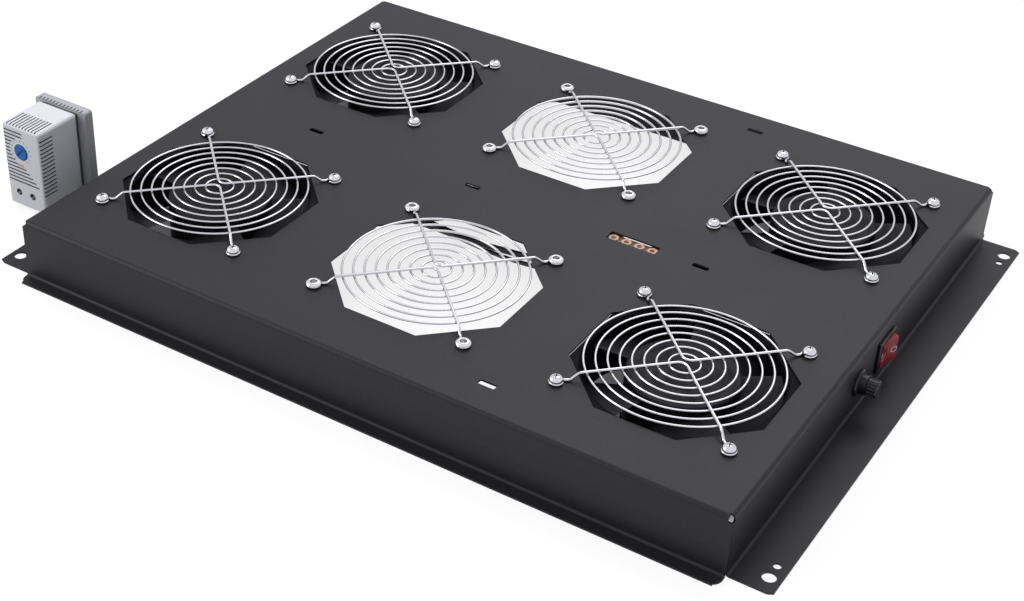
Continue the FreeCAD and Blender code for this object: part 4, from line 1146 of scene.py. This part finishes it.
@dataclass
class Fixings:
    """Screws at the fitted fans and hollow rivets at the spare bays."""

    pitch: float = 105.0 * MM
    seat: float = 43.0 * MM
    head: float = 4.1 * MM
    head_height: float = 3.0 * MM
    thread: float = 2.0 * MM
    reach: float = 13.0 * MM
    recess: float = 2.2 * MM
    cross_width: float = 1.0 * MM
    cross_depth: float = 3.6 * MM
    cross_taper: float = 0.55
    cross_turn: float = 0.3
    thread_pitch: float = 0.7 * MM
    rivet_head: float = 4.7 * MM
    rivet_height: float = 1.5 * MM
    rivet_bore: float = 2.1 * MM
    rivet_body: float = 2.55 * MM
    plate_under: float = 39.8 * MM

    def screw(self) -> Piece:
        """Pan-head screw with a cross recess and a rolled thread, standing at the origin.

        Returns:
            The screw.
        """
        top = self.head_height
        profile = [(0.0, top), (1.2 * MM, top - 0.05 * MM), (2.4 * MM, top - 0.35 * MM),
                   (3.3 * MM, top - 0.95 * MM), (3.85 * MM, top - 1.75 * MM), (self.head, top - 2.4 * MM),
                   (self.head, 0.12 * MM), (self.head - 0.15 * MM, 0.0), (self.thread, 0.0)]
        depth = -1.0 * MM
        while depth > -self.reach + 1.0 * MM:
            profile += [(self.thread - 0.3 * MM, depth), (self.thread - 0.02 * MM, depth - 0.35 * MM)]
            depth -= self.thread_pitch
        profile += [(self.thread - 0.5 * MM, -self.reach), (0.0, -self.reach)]
        screw = turned("screw_master", profile, 28)
        for turn in (0.0, math.pi / 2):
            deselect_all()
            bpy.ops.mesh.primitive_cube_add(size=1, location=(0, 0, top), rotation=(0, 0,
                                                                                    turn + self.cross_turn),
                                            scale=(2 * self.recess, self.cross_width, self.cross_depth))
            tool = settle(named("recess_tool"))
            with editing(tool):
                pick(tool, lambda p: p.z < top, "faces")
                bpy.ops.transform.resize(value=(self.cross_taper, self.cross_taper, 1),
                                         center_override=(0, 0, top))
            carve(screw, tool)
        return smooth(screw, 40.0)

    def rivet(self) -> Piece:
        """Hollow rivet with a rolled head and a flared tail, standing at the origin.

        Returns:
            The rivet.
        """
        top = self.rivet_height
        under = self.plate_under - self.seat
        profile = [(self.rivet_bore, under - 1.3 * MM), (self.rivet_bore, top - 0.5 * MM),
                   (self.rivet_bore + 0.15 * MM, top - 0.15 * MM), (self.rivet_bore + 0.5 * MM, top),
                   (self.rivet_bore + 1.2 * MM, top - 0.12 * MM),
                   (self.rivet_head - 0.55 * MM, top - 0.6 * MM),
                   (self.rivet_head - 0.1 * MM, top - 1.1 * MM), (self.rivet_head, 0.15 * MM),
                   (self.rivet_head - 0.15 * MM, 0.0), (self.rivet_body, 0.0), (self.rivet_body, under),
                   (3.6 * MM, under - 0.1 * MM), (3.75 * MM, under - 0.6 * MM), (3.3 * MM, under - 1.2 * MM),
                   (2.6 * MM, under - 1.38 * MM), (self.rivet_bore, under - 1.3 * MM)]
        return smooth(turned("rivet_master", profile, 32), 45.0)

    def set_of_four(self, master: Piece, name: str, centre: Vector, finish: Finish,
                    node: str) -> Piece:
        """Copies a fixing to the four corners of a position.

        Args:
            master: the fixing at the origin.
            name: name of the joined piece.
            centre: middle of the position.
            finish: the fixings' finish.
            node: the CAD node that they stand for.

        Returns:
            The four fixings as one piece.
        """
        parts = []
        for turn, (sx, sy) in enumerate(((-1, -1), (1, -1), (1, 1), (-1, 1))):
            copy = copied(master, f"{name}_{turn}", ORIGIN)
            copy.rotation_euler = (0, 0, 0.7 * turn + 9.0 * centre.x + 4.0 * centre.y)
            copy.location = centre + Vector((sx, sy, 0)) * (self.pitch / 2)
            copy.location.z = self.seat
            parts.append(settle(copy))
        return mount(join(parts, name), finish, BODY_OF[node], [node])

    def paint_recess_shade(self, piece: Piece, centre: Vector) -> Piece:
        """Gives the faces in the screws' recesses a painted shade: a dark colour in place of the shade inside
        them.

        Args:
            piece: four screws in place.
            centre: middle of their position.

        Returns:
            The screws.
        """
        # Painted shade: faces inside the recesses take the dark finish.
        piece.data.materials.append(Finishes.GROOVE.material())
        low, high = self.seat + 0.3 * MM, self.seat + self.head_height - 0.38 * MM
        for face in piece.data.polygons:
            off = face.center - centre
            reach = math.hypot(abs(off.x) - self.pitch / 2, abs(off.y) - self.pitch / 2)
            if reach < self.recess + 0.1 * MM and low < face.center.z < high:
                face.material_index = 1
        return piece


# ---------------------------------------------------------------- fans
@dataclass
class FanWheel:
    """Moulded fan wheel: a cup-shaped hub with swept blades."""

    row: Row
    column: Column
    hub: float = 33.0 * MM
    hub_wall: float = 1.8 * MM
    top: float = 38.3 * MM
    bottom: float = 8.5 * MM
    roof: float = 2.0 * MM
    tip: float = 56.5 * MM
    blades: int = 5
    root_start: float = 26.4 * MM
    tip_end: float = 60.5 * MM
    root_width: float = 41.0 * MM
    tip_width: float = 70.0 * MM
    root_rise: float = 20.0 * MM
    tip_rise: float = 19.0 * MM
    sweep: float = 11.0 * MM
    thickness: float = 2.0 * MM
    top_gap: float = 4.0 * MM
    phase: float = 20.0

    def surface(self, x: float, t: float) -> tuple[float, float]:
        """Middle surface of the blade that points along X.

        Args:
            x: distance along the blade.
            t: -1 at one edge of the blade, 1 at the other.

        Returns:
            Y and Z there.
        """
        share = (x - self.root_start) / (self.tip_end - self.root_start)
        half = (self.root_width + share * (self.tip_width - self.root_width)) / 2
        rise = self.root_rise + share * (self.tip_rise - self.root_rise)
        middle = self.top - self.top_gap - self.root_rise / 2
        return t * half + self.sweep * share, middle + rise / 2 * t + 0.12 * rise * (1 - t * t)

    def reach(self, t: float, radius: float) -> float:
        """Distance along the blade at which a line of it meets a cylinder.

        Args:
            t: -1 at one edge of the blade, 1 at the other.
            radius: the cylinder's radius.

        Returns:
            The distance along X.
        """
        low, high = 0.3 * radius, radius
        for _ in range(30):
            x = (low + high) / 2
            y = self.surface(x, t)[0]
            low, high = (x, high) if math.hypot(x, y) < radius else (low, x)
        return low

    def blade(self, name: str) -> Piece:
        """One blade with rounded edges, pointing along X.

        Args:
            name: the object's name.

        Returns:
            The blade.
        """
        deselect_all()
        bpy.ops.mesh.primitive_cylinder_add(vertices=28, radius=1, depth=1, end_fill_type="NGON",
                                            location=(0, 0, 0.5))
        obj = settle(named(name))
        with editing(obj):
            pick(obj, lambda p: 0.4 < p.z < 0.6, "edges")
            bpy.ops.mesh.subdivide(number_cuts=8)
            mesh = bmesh.from_edit_mesh(obj.data)
            inner = self.hub - self.hub_wall * 0.5
            for vert in mesh.verts:
                t = max(-1.0, min(1.0, vert.co.x))
                start, end = self.reach(t, inner), self.reach(t, self.tip)
                x = start + vert.co.z * (end - start)
                y, z = self.surface(x, t)
                vert.co = Vector((x, y, z + vert.co.y * self.thickness / 2))
            bmesh.update_edit_mesh(obj.data)
            bpy.ops.mesh.select_all(action="SELECT")
            bpy.ops.mesh.normals_make_consistent(inside=False)
        return obj

    def cup(self, name: str) -> Piece:
        """The hub, open below, with a shallow ring and a dimple in its roof.

        Args:
            name: the object's name.

        Returns:
            The hub.
        """
        under = self.top - self.roof
        inner = self.hub - self.hub_wall
        inside = [(inner, self.bottom), (inner, under - 1.0 * MM), (inner - 1.0 * MM, under), (4.4 * MM,
                                                                                               under),
                  (4.2 * MM, under - 5.2 * MM), (1.7 * MM, under - 5.2 * MM), (1.7 * MM, self.top - 0.9 * MM),
                  (0.0, self.top - 0.9 * MM)]
        roof = [(0.0, self.top - 0.35 * MM), (2.6 * MM, self.top - 0.35 * MM), (3.1 * MM,
                                                                                self.top - 0.02 * MM),
                (24.6 * MM, self.top), (24.9 * MM, self.top - 0.3 * MM), (25.7 * MM, self.top - 0.3 * MM),
                (26.0 * MM, self.top), (self.hub - 1.5 * MM, self.top), (self.hub - 0.75 * MM,
                                                                         self.top - 0.2 * MM),
                (self.hub - 0.2 * MM, self.top - 0.75 * MM), (self.hub, self.top - 1.5 * MM),
                (self.hub, self.bottom + 0.3 * MM), (self.hub - 0.3 * MM, self.bottom)]
        shell = turned(name, inside[::-1], 72)
        skin = turned(name + "_skin", roof, 72)
        shell = join([shell, skin], name)
        with editing(shell):
            bpy.ops.mesh.select_all(action="SELECT")
            bpy.ops.mesh.remove_doubles(threshold=2e-5)
            bpy.ops.mesh.select_all(action="DESELECT")
            bpy.ops.mesh.select_non_manifold()
            bpy.ops.mesh.bridge_edge_loops()
            bpy.ops.mesh.select_all(action="SELECT")
            bpy.ops.mesh.normals_make_consistent(inside=False)
        return shell

    def build(self) -> Piece:
        """Builds the wheel about the Z axis.

        Returns:
            The wheel.
        """
        parts = [smooth(self.cup("wheel_cup"), 40.0)]
        first = self.blade("wheel_blade_0")
        blades = [first]
        for index in range(1, self.blades):
            copy = copied(first, f"wheel_blade_{index}", ORIGIN)
            copy.rotation_euler = (0, 0, index * 2 * math.pi / self.blades)
            blades.append(settle(copy))
        parts += [smooth(blade, 45.0, weighted=False) for blade in blades]
        return join(parts, "wheel_master")

    def set_in_place(self, master: Piece) -> Piece:
        """Copies the built wheel into its fan.

        Args:
            master: the wheel at the origin.

        Returns:
            The wheel in place.
        """
        node = "fan_impeller_" + tag(self.row, self.column)
        middle = middle_of("fan_shaft_" + tag(self.row, self.column))
        wheel = copied(master, "fan_wheel_" + tag(self.row, self.column), ORIGIN)
        wheel.rotation_euler = (0, 0, math.radians(self.phase))
        wheel.location = (middle.x, middle.y, 0)
        settle(wheel)
        return mount(wheel, Finishes.FAN_BLACK, BODY_OF[node], [node])


# ---------------------------------------------------------------- controls in the right wall
@dataclass
class RockerSwitch:
    """The marks on the rocker and its dished half."""

    pivot: Vector = field(default_factory=lambda: mm(241.5, 12.0, 20.5))
    tilt: float = 13.0
    rise: float = 4.2 * MM
    half_length: float = 9.5 * MM
    mark_share: float = 0.55
    ring: float = 1.8 * MM
    line: float = 0.24 * MM
    dish: float = 11.0 * MM
    dish_depth: float = 0.9 * MM
    ring_shape: tuple[float, float, float] = (1.25, 1.0, 0.35)
    dash_half: tuple[float, float, float] = (0.35, 1.7, 0.12)

    def turn(self) -> Matrix:
        """Place of the tilted rocker, whose own axes are X out, Y along and Z up."""
        return Matrix.Translation(self.pivot) @ Matrix.Rotation(-math.radians(self.tilt), 4, "Z")

    def half_frame(self, sign: int) -> Matrix:
        """Frame on one half of the rocker's face: its Z out of the face and its X along the switch.

        Args:
            sign: 1 for the raised half, -1 for the pressed one.

        Returns:
            The frame's matrix.
        """
        slope = math.radians(self.tilt) * sign
        middle = Vector((self.rise + abs(math.tan(slope)) * self.half_length * self.mark_share,
                         sign * self.half_length * self.mark_share, 0))
        out = Vector((math.cos(slope), -math.sin(slope), 0))
        along = Vector((math.sin(slope), math.cos(slope), 0))
        rows = Matrix((along, UP, out)).transposed().to_4x4()
        rows.translation = middle
        return self.turn() @ rows

    def rocker(self) -> Piece:
        """The rocker with a dished pressed half and softened edges.

        Returns:
            The rocker.
        """
        piece = refined("switch_rocker", SHARP)
        place = self.half_frame(-1)
        deselect_all()
        bpy.ops.mesh.primitive_uv_sphere_add(segments=64, ring_count=40, radius=self.dish)
        tool = named("dish_tool")
        tool.matrix_world = place @ Matrix.Translation((0, 0, self.dish - self.dish_depth))
        carve(piece, settle(tool))
        modify(piece, "BEVEL", width=0.35 * MM, segments=3, limit_method="ANGLE",
               angle_limit=math.radians(25))
        return smooth(piece, 35.0)

    def marks(self) -> Piece:
        """The ring on the raised half and the dash on the pressed one.

        Returns:
            Both marks as one piece.
        """
        deselect_all()
        bpy.ops.mesh.primitive_torus_add(major_radius=self.ring, minor_radius=self.line, major_segments=40,
                                         minor_segments=8)
        ring = named("mark_ring")
        ring.matrix_world = self.half_frame(1) @ Matrix.Diagonal((*self.ring_shape, 1.0))
        settle(ring)
        size = mm(*self.dash_half)
        dash = rounded_block("mark_dash", -size, size, 0.1 * MM)
        dash.matrix_world = self.half_frame(-1) @ Matrix.Translation((0, 0, -self.dish_depth))
        settle(dash)
        marks = smooth(join([ring, dash], "rocker_marks"), 50.0, weighted=False)
        return mount(marks, Finishes.WHITE_INK, "rocker", ())

    def build(self) -> None:
        """Builds the switch's pieces."""
        refined("switch_housing", SHARP, 0.25 * MM)
        refined("switch_terminals", SHARP, 0.1 * MM)
        self.rocker()
        self.marks()


@dataclass
class FuseHolder:
    """Fuse holder parts, with broken edges."""

    edge: float = 0.15 * MM

    def build(self) -> None:
        """Builds the holder's pieces."""
        for node in ("fuse_holder_body", "fuse_holder_nut", "fuse_carrier", "fuse_cap"):
            refined(node, SHARP, self.edge)
        refined("fuse_link", SHARP)


# ---------------------------------------------------------------- thermostat
@dataclass
class Thermostat:
    """Rail-mount thermostat: its housing pieces, the dial and the printed scale."""

    dial: Vector = field(default_factory=lambda: mm(-296.7, -142.0, 45.5))
    ring_inner: float = 5.95 * MM
    ring_outer: float = 7.0 * MM
    tick_inner: float = 7.3 * MM
    tick_outer: float = 8.9 * MM
    ticks: int = 13
    sweep: float = 270.0
    proud: float = 0.06 * MM
    groove_depth: float = 0.22 * MM
    tick_width: float = 0.35 * MM
    long_tick_every: int = 3
    short_tick_cut: float = 0.35

    def scale_ring(self) -> Piece:
        """Pale printed ring round the dial.

        Returns:
            The ring.
        """
        profile = [(self.ring_inner, 0.0), (self.ring_inner, -self.proud), (self.ring_outer, -self.proud),
                   (self.ring_outer, 0.0), (self.ring_inner, 0.0)]
        ring = turned("dial_ring", profile, 64, "Y", self.dial)
        return mount(smooth(ring, SHARP), Finishes.WHITE_INK, "tray", ())

    def scale_ticks(self) -> Piece:
        """Printed ticks round the dial.

        Returns:
            The ticks as one piece.
        """
        parts = []
        for index in range(self.ticks):
            angle = math.radians(-90 + (self.sweep / (self.ticks - 1)) * index - self.sweep / 2 + 180)
            length = self.tick_outer - self.tick_inner
            inner = self.tick_inner + (length * self.short_tick_cut if index % self.long_tick_every else 0.0)
            size = Vector((self.tick_outer - inner, 2 * self.proud, self.tick_width)) / 2
            tick = rounded_block(f"dial_tick_{index}", -size, size, 0.03 * MM)
            middle = (inner + self.tick_outer) / 2
            tick.rotation_euler = (0, -angle, 0)
            tick.location = self.dial + Vector((math.cos(angle), 0, math.sin(angle))) * middle
            parts.append(settle(tick))
        return mount(join(parts, "dial_ticks"), Finishes.DARK_INK, "tray", ())

    def setting_patch(self) -> Piece:
        """Small printed patch under the dial.

        Returns:
            The patch.
        """
        size = Vector((5.2, 2 * self.proud / MM, 1.9)) / 2 * MM
        middle = self.dial + mm(-1.5, 0, -10.4)
        patch = rounded_block("scale_patch", middle - size, middle + size, 0.04 * MM)
        return mount(patch, Finishes.BEIGE, "tray", ())

    def paint_groove_shade(self, housing: Piece) -> Piece:
        """Gives the faces that lie inside the housing's outline a painted shade: a dark colour in the grooves
        in place of the shade inside them.

        Args:
            housing: the finished housing.

        Returns:
            The housing.
        """
        low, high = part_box("thermostat_housing")
        # Painted shade: faces set into the grooves take the dark finish.
        housing.data.materials.append(Finishes.GROOVE.material())
        for face in housing.data.polygons:
            inset = [min(face.center[i] - low[i], high[i] - face.center[i]) for i in range(3)]
            in_painted_groove_shade = min(inset) > self.groove_depth and max(abs(n) for n in face.normal) > 0.9
            if in_painted_groove_shade:
                face.material_index = 1
        return housing

    def build(self) -> None:
        """Builds the thermostat's pieces."""
        self.paint_groove_shade(refined("thermostat_housing", SHARP, 0.18 * MM))
        for part, edge in (("base", 0.25), ("clip", 0.2), ("dial", 0.12), ("screws", 0.1)):
            refined("thermostat_" + part, SHARP, edge * MM)
        self.scale_ring()
        self.scale_ticks()
        self.setting_patch()


# ---------------------------------------------------------------- loose leads
@dataclass
class LooseLead:
    """One of the two thin leads between the thermostat and the tray."""

    number: int
    route: Sequence[tuple[float, float, float]]
    length: float
    diameter: float = 2.2 * MM

    def build(self) -> Piece:
        """Lays the lead along its route.

        Returns:
            The lead.
        """
        node = f"thermostat_lead_{self.number}"
        curve = bpy.data.curves.new(f"loose_lead_{self.number}", "CURVE")
        curve.dimensions = "3D"
        curve.bevel_depth = self.diameter / 2
        curve.bevel_resolution = 4
        curve.resolution_u = 16
        curve.use_fill_caps = True
        spline = curve.splines.new("NURBS")
        spline.points.add(len(self.route) - 1)
        for point, place in zip(spline.points, self.route):
            point.co = (*mm(*place), 1.0)
        spline.order_u = 3
        spline.use_endpoint_u = True
        lead = bpy.data.objects.new(curve.name, curve)
        bpy.context.scene.collection.objects.link(lead)
        mount(lead, Finishes.RUBBER, BODY_OF[node], [node])
        return lead


LEAD_ROUTES: tuple[LooseLead, ...] = (
    LooseLead(1, ((-302.5, -135, 9), (-302.5, -135, 1.5), (-295, -124, 1.4), (-283, -114, 1.5),
                  (-271, -110.5, 4), (-261, -112, 9.5), (-251.4, -116.6, 14), (-242.4, -116.6,
                                                                               14)), 79.0 * MM),
    LooseLead(2, ((-290.5, -135, 9), (-290.5, -135, 1.5), (-281, -140, 1.5), (-270, -134.5, 3.2),
                  (-261, -127, 9), (-251.4, -119.4, 14), (-242.4, -119.4, 14)), 63.2 * MM),
)


# ---------------------------------------------------------------- stage
@dataclass
class Stage:
    """Camera, floor and lights."""

    place: Vector = field(default_factory=lambda: mm(477.6, -858.1, 639.4))
    heading: float = -32.39
    elevation: float = 34.57
    roll: float = 1.58
    focal_share: float = 1797.6 / 1024
    shift: tuple[float, float] = (0.0801, 0.0)
    pale_side: tuple[float, float, float] = (-0.55, 0.05, 0.83)
    floor: Colour = (0.24, 0.24, 0.24)
    # Painted shadow on the floor under the fitted fans: its middle, half size, soft edge and dim glow.
    painted_shadow_middle: tuple[float, float] = (-0.012, 0.017)
    fan_half_pitch: tuple[float, float] = (0.1655, 0.099)
    painted_shadow_half: float = 0.07
    painted_shadow_blur: float = 0.008
    painted_shadow_glow: float = 0.08
    open_glow: float = 0.72
    pale_range: tuple[float, float] = (-0.25, 0.85)
    sky_swing: float = 0.62
    sky_least: float = 0.36
    sky_colour: Colour = (0.94, 0.94, 1.0)

    def camera(self) -> Piece:
        """Sets the camera.

        Returns:
            The camera.
        """
        data = bpy.data.cameras.new("camera")
        data.sensor_width = 36.0
        data.lens = self.focal_share * data.sensor_width
        data.shift_x, data.shift_y = self.shift
        data.clip_start, data.clip_end = 0.05, 20.0
        camera = bpy.data.objects.new("camera", data)
        bpy.context.scene.collection.objects.link(camera)
        heading, elevation = math.radians(self.heading), math.radians(self.elevation)
        ahead = Vector((math.sin(heading) * math.cos(elevation), math.cos(heading) * math.cos(elevation),
                        -math.sin(elevation)))
        camera.location = self.place
        camera.rotation_mode = "QUATERNION"
        camera.rotation_quaternion = Quaternion(ahead, -math.radians(self.roll)) @ ahead.to_track_quat("-Z",
                                                                                                       "Y")
        bpy.context.scene.camera = camera
        return camera

    def ground(self) -> Piece:
        """Pale floor that shows as white where no shadow lies, with a painted shadow: its glow is lowered to
        a dim level in a square under each fitted fan.

        Returns:
            The floor.
        """
        deselect_all()
        bpy.ops.mesh.primitive_plane_add(size=8)
        floor = named("floor")
        made = bpy.data.materials.new("floor")
        made.use_nodes = True
        sheet = Sheet(made.node_tree)
        shader = made.node_tree.nodes["Principled BSDF"]
        shader.inputs["Roughness"].default_value = 0.9
        shader.inputs["Specular IOR Level"].default_value = 0.1
        seen = sheet.seen()
        shader.inputs["Base Color"].default_value = (*self.floor, 1.0)
        shader.inputs["Emission Color"].default_value = (1.0, 1.0, 1.0, 1.0)
        # Painted shadow: the floor's glow drops to a dim level in a square under each fitted fan.
        spot = sheet.add("ShaderNodeSeparateXYZ", Vector=sheet.place()).outputs
        away = [sheet.math("ABSOLUTE", sheet.math("SUBTRACT", spot[axis], middle))
                for axis, middle in (("X", self.painted_shadow_middle[0]), ("Y", self.painted_shadow_middle[1]))]
        off = [sheet.math("ABSOLUTE", sheet.math("SUBTRACT", far, half))
               for far, half in zip(away, self.fan_half_pitch)]
        outside_painted_shadow = sheet.ramp(sheet.math("MAXIMUM", *off), self.painted_shadow_half, self.painted_shadow_half + self.painted_shadow_blur)
        glow = sheet.math("ADD", sheet.math("MULTIPLY", outside_painted_shadow, self.open_glow), self.painted_shadow_glow)
        sheet.join(sheet.math("MULTIPLY", seen, glow), shader.inputs["Emission Strength"])
        floor.data.materials.append(made)
        floor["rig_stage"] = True
        return floor

    def sky(self) -> None:
        """Surroundings that are pale above and to the left and dim to the right, white to the camera."""
        world = bpy.data.worlds.new("surroundings")
        bpy.context.scene.world = world
        world.use_nodes = True
        sheet = Sheet(world.node_tree)
        back = world.node_tree.nodes["Background"]
        seen = sheet.seen()
        way = sheet.add("ShaderNodeTexCoord").outputs["Generated"]
        side = sheet.add("ShaderNodeVectorMath", operation="DOT_PRODUCT", Vector=way)
        side.inputs[1].default_value = self.pale_side
        pale = sheet.ramp(side.outputs["Value"], *self.pale_range)
        glow = sheet.math("ADD", sheet.math("MULTIPLY", pale, self.sky_swing), self.sky_least)
        back.inputs["Color"].default_value = (*self.sky_colour, 1.0)
        sheet.join(sheet.math("MAXIMUM", seen, glow), back.inputs["Strength"])

    def lamp(self, name: str, place: Vector, target: Vector, size: float, power: float) -> Piece:
        """One soft lamp.

        Args:
            name: its name.
            place: where it stands.
            target: what it points at.
            size: side of its square face.
            power: in watts.

        Returns:
            The lamp.
        """
        data = bpy.data.lights.new(name, "AREA")
        data.shape = "SQUARE"
        data.size = size
        data.energy = power
        lamp = bpy.data.objects.new(name, data)
        bpy.context.scene.collection.objects.link(lamp)
        lamp.location = place
        lamp.rotation_mode = "QUATERNION"
        lamp.rotation_quaternion = (target - place).to_track_quat("-Z", "Y")
        return lamp

    def build(self) -> None:
        """Sets the camera, the floor and the lights."""
        self.camera()
        self.ground()
        self.sky()
        self.lamp("key_lamp", Vector((-1.6, -1.1, 1.1)), ORIGIN, 1.0, 16.0)
        self.lamp("top_lamp", Vector((-0.3, 1.3, 1.8)), ORIGIN, 1.2, 12.0)
        bpy.context.scene.view_settings.view_transform = "Standard"


def main() -> None:
    """Builds the sub-assemblies in order."""
    logging.basicConfig(level=logging.INFO, format="%(name)s: %(message)s")
    clear_start_up()
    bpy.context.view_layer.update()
    Stage().build()
    for lead in LEAD_ROUTES:
        lead.build()
    refined("tray_panel", 35.0, 0.12 * MM)
    positions = [(row, column) for row in Row for column in Column]
    fitted = [(row, column) for row, column in positions if column is not Column.MIDDLE]
    guards = [FingerGuard(row, column) for row, column in positions]
    master = guards[0].build()
    for guard in guards:
        guard.set_in_place(master)
    bpy.data.objects.remove(master)
    fixings = Fixings()
    screw, rivet = fixings.screw(), fixings.rivet()
    for row, column in positions:
        centre = middle_of("finger_guard_" + tag(row, column))
        if column is Column.MIDDLE:
            fixings.set_of_four(rivet, "rivets_" + tag(row, column), centre, Finishes.RIVET, "guard_rivets")
        else:
            screws = fixings.set_of_four(screw, "screws_" + tag(row, column), centre, Finishes.SCREW,
                                         "fan_screws")
            fixings.paint_recess_shade(screws, centre)
    for tool in (screw, rivet):
        bpy.data.objects.remove(tool)
    wheels = [FanWheel(row, column) for row, column in fitted]
    master = wheels[0].build()
    for wheel in wheels:
        wheel.set_in_place(master)
        refined("fan_frame_" + tag(wheel.row, wheel.column), SHARP, 0.3 * MM)
    bpy.data.objects.remove(master)
    RockerSwitch().build()
    FuseHolder().build()
    Thermostat().build()
    stood_for = {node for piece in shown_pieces() for node in piece.get("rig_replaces", [])}
    for node, obj in NODES.items():
        if node not in stood_for:
            paint(obj, Finishes.of_slot(SLOT_OF[node]))
            LOG.info("node %s", node)


if __name__ == "__main__":
    main()
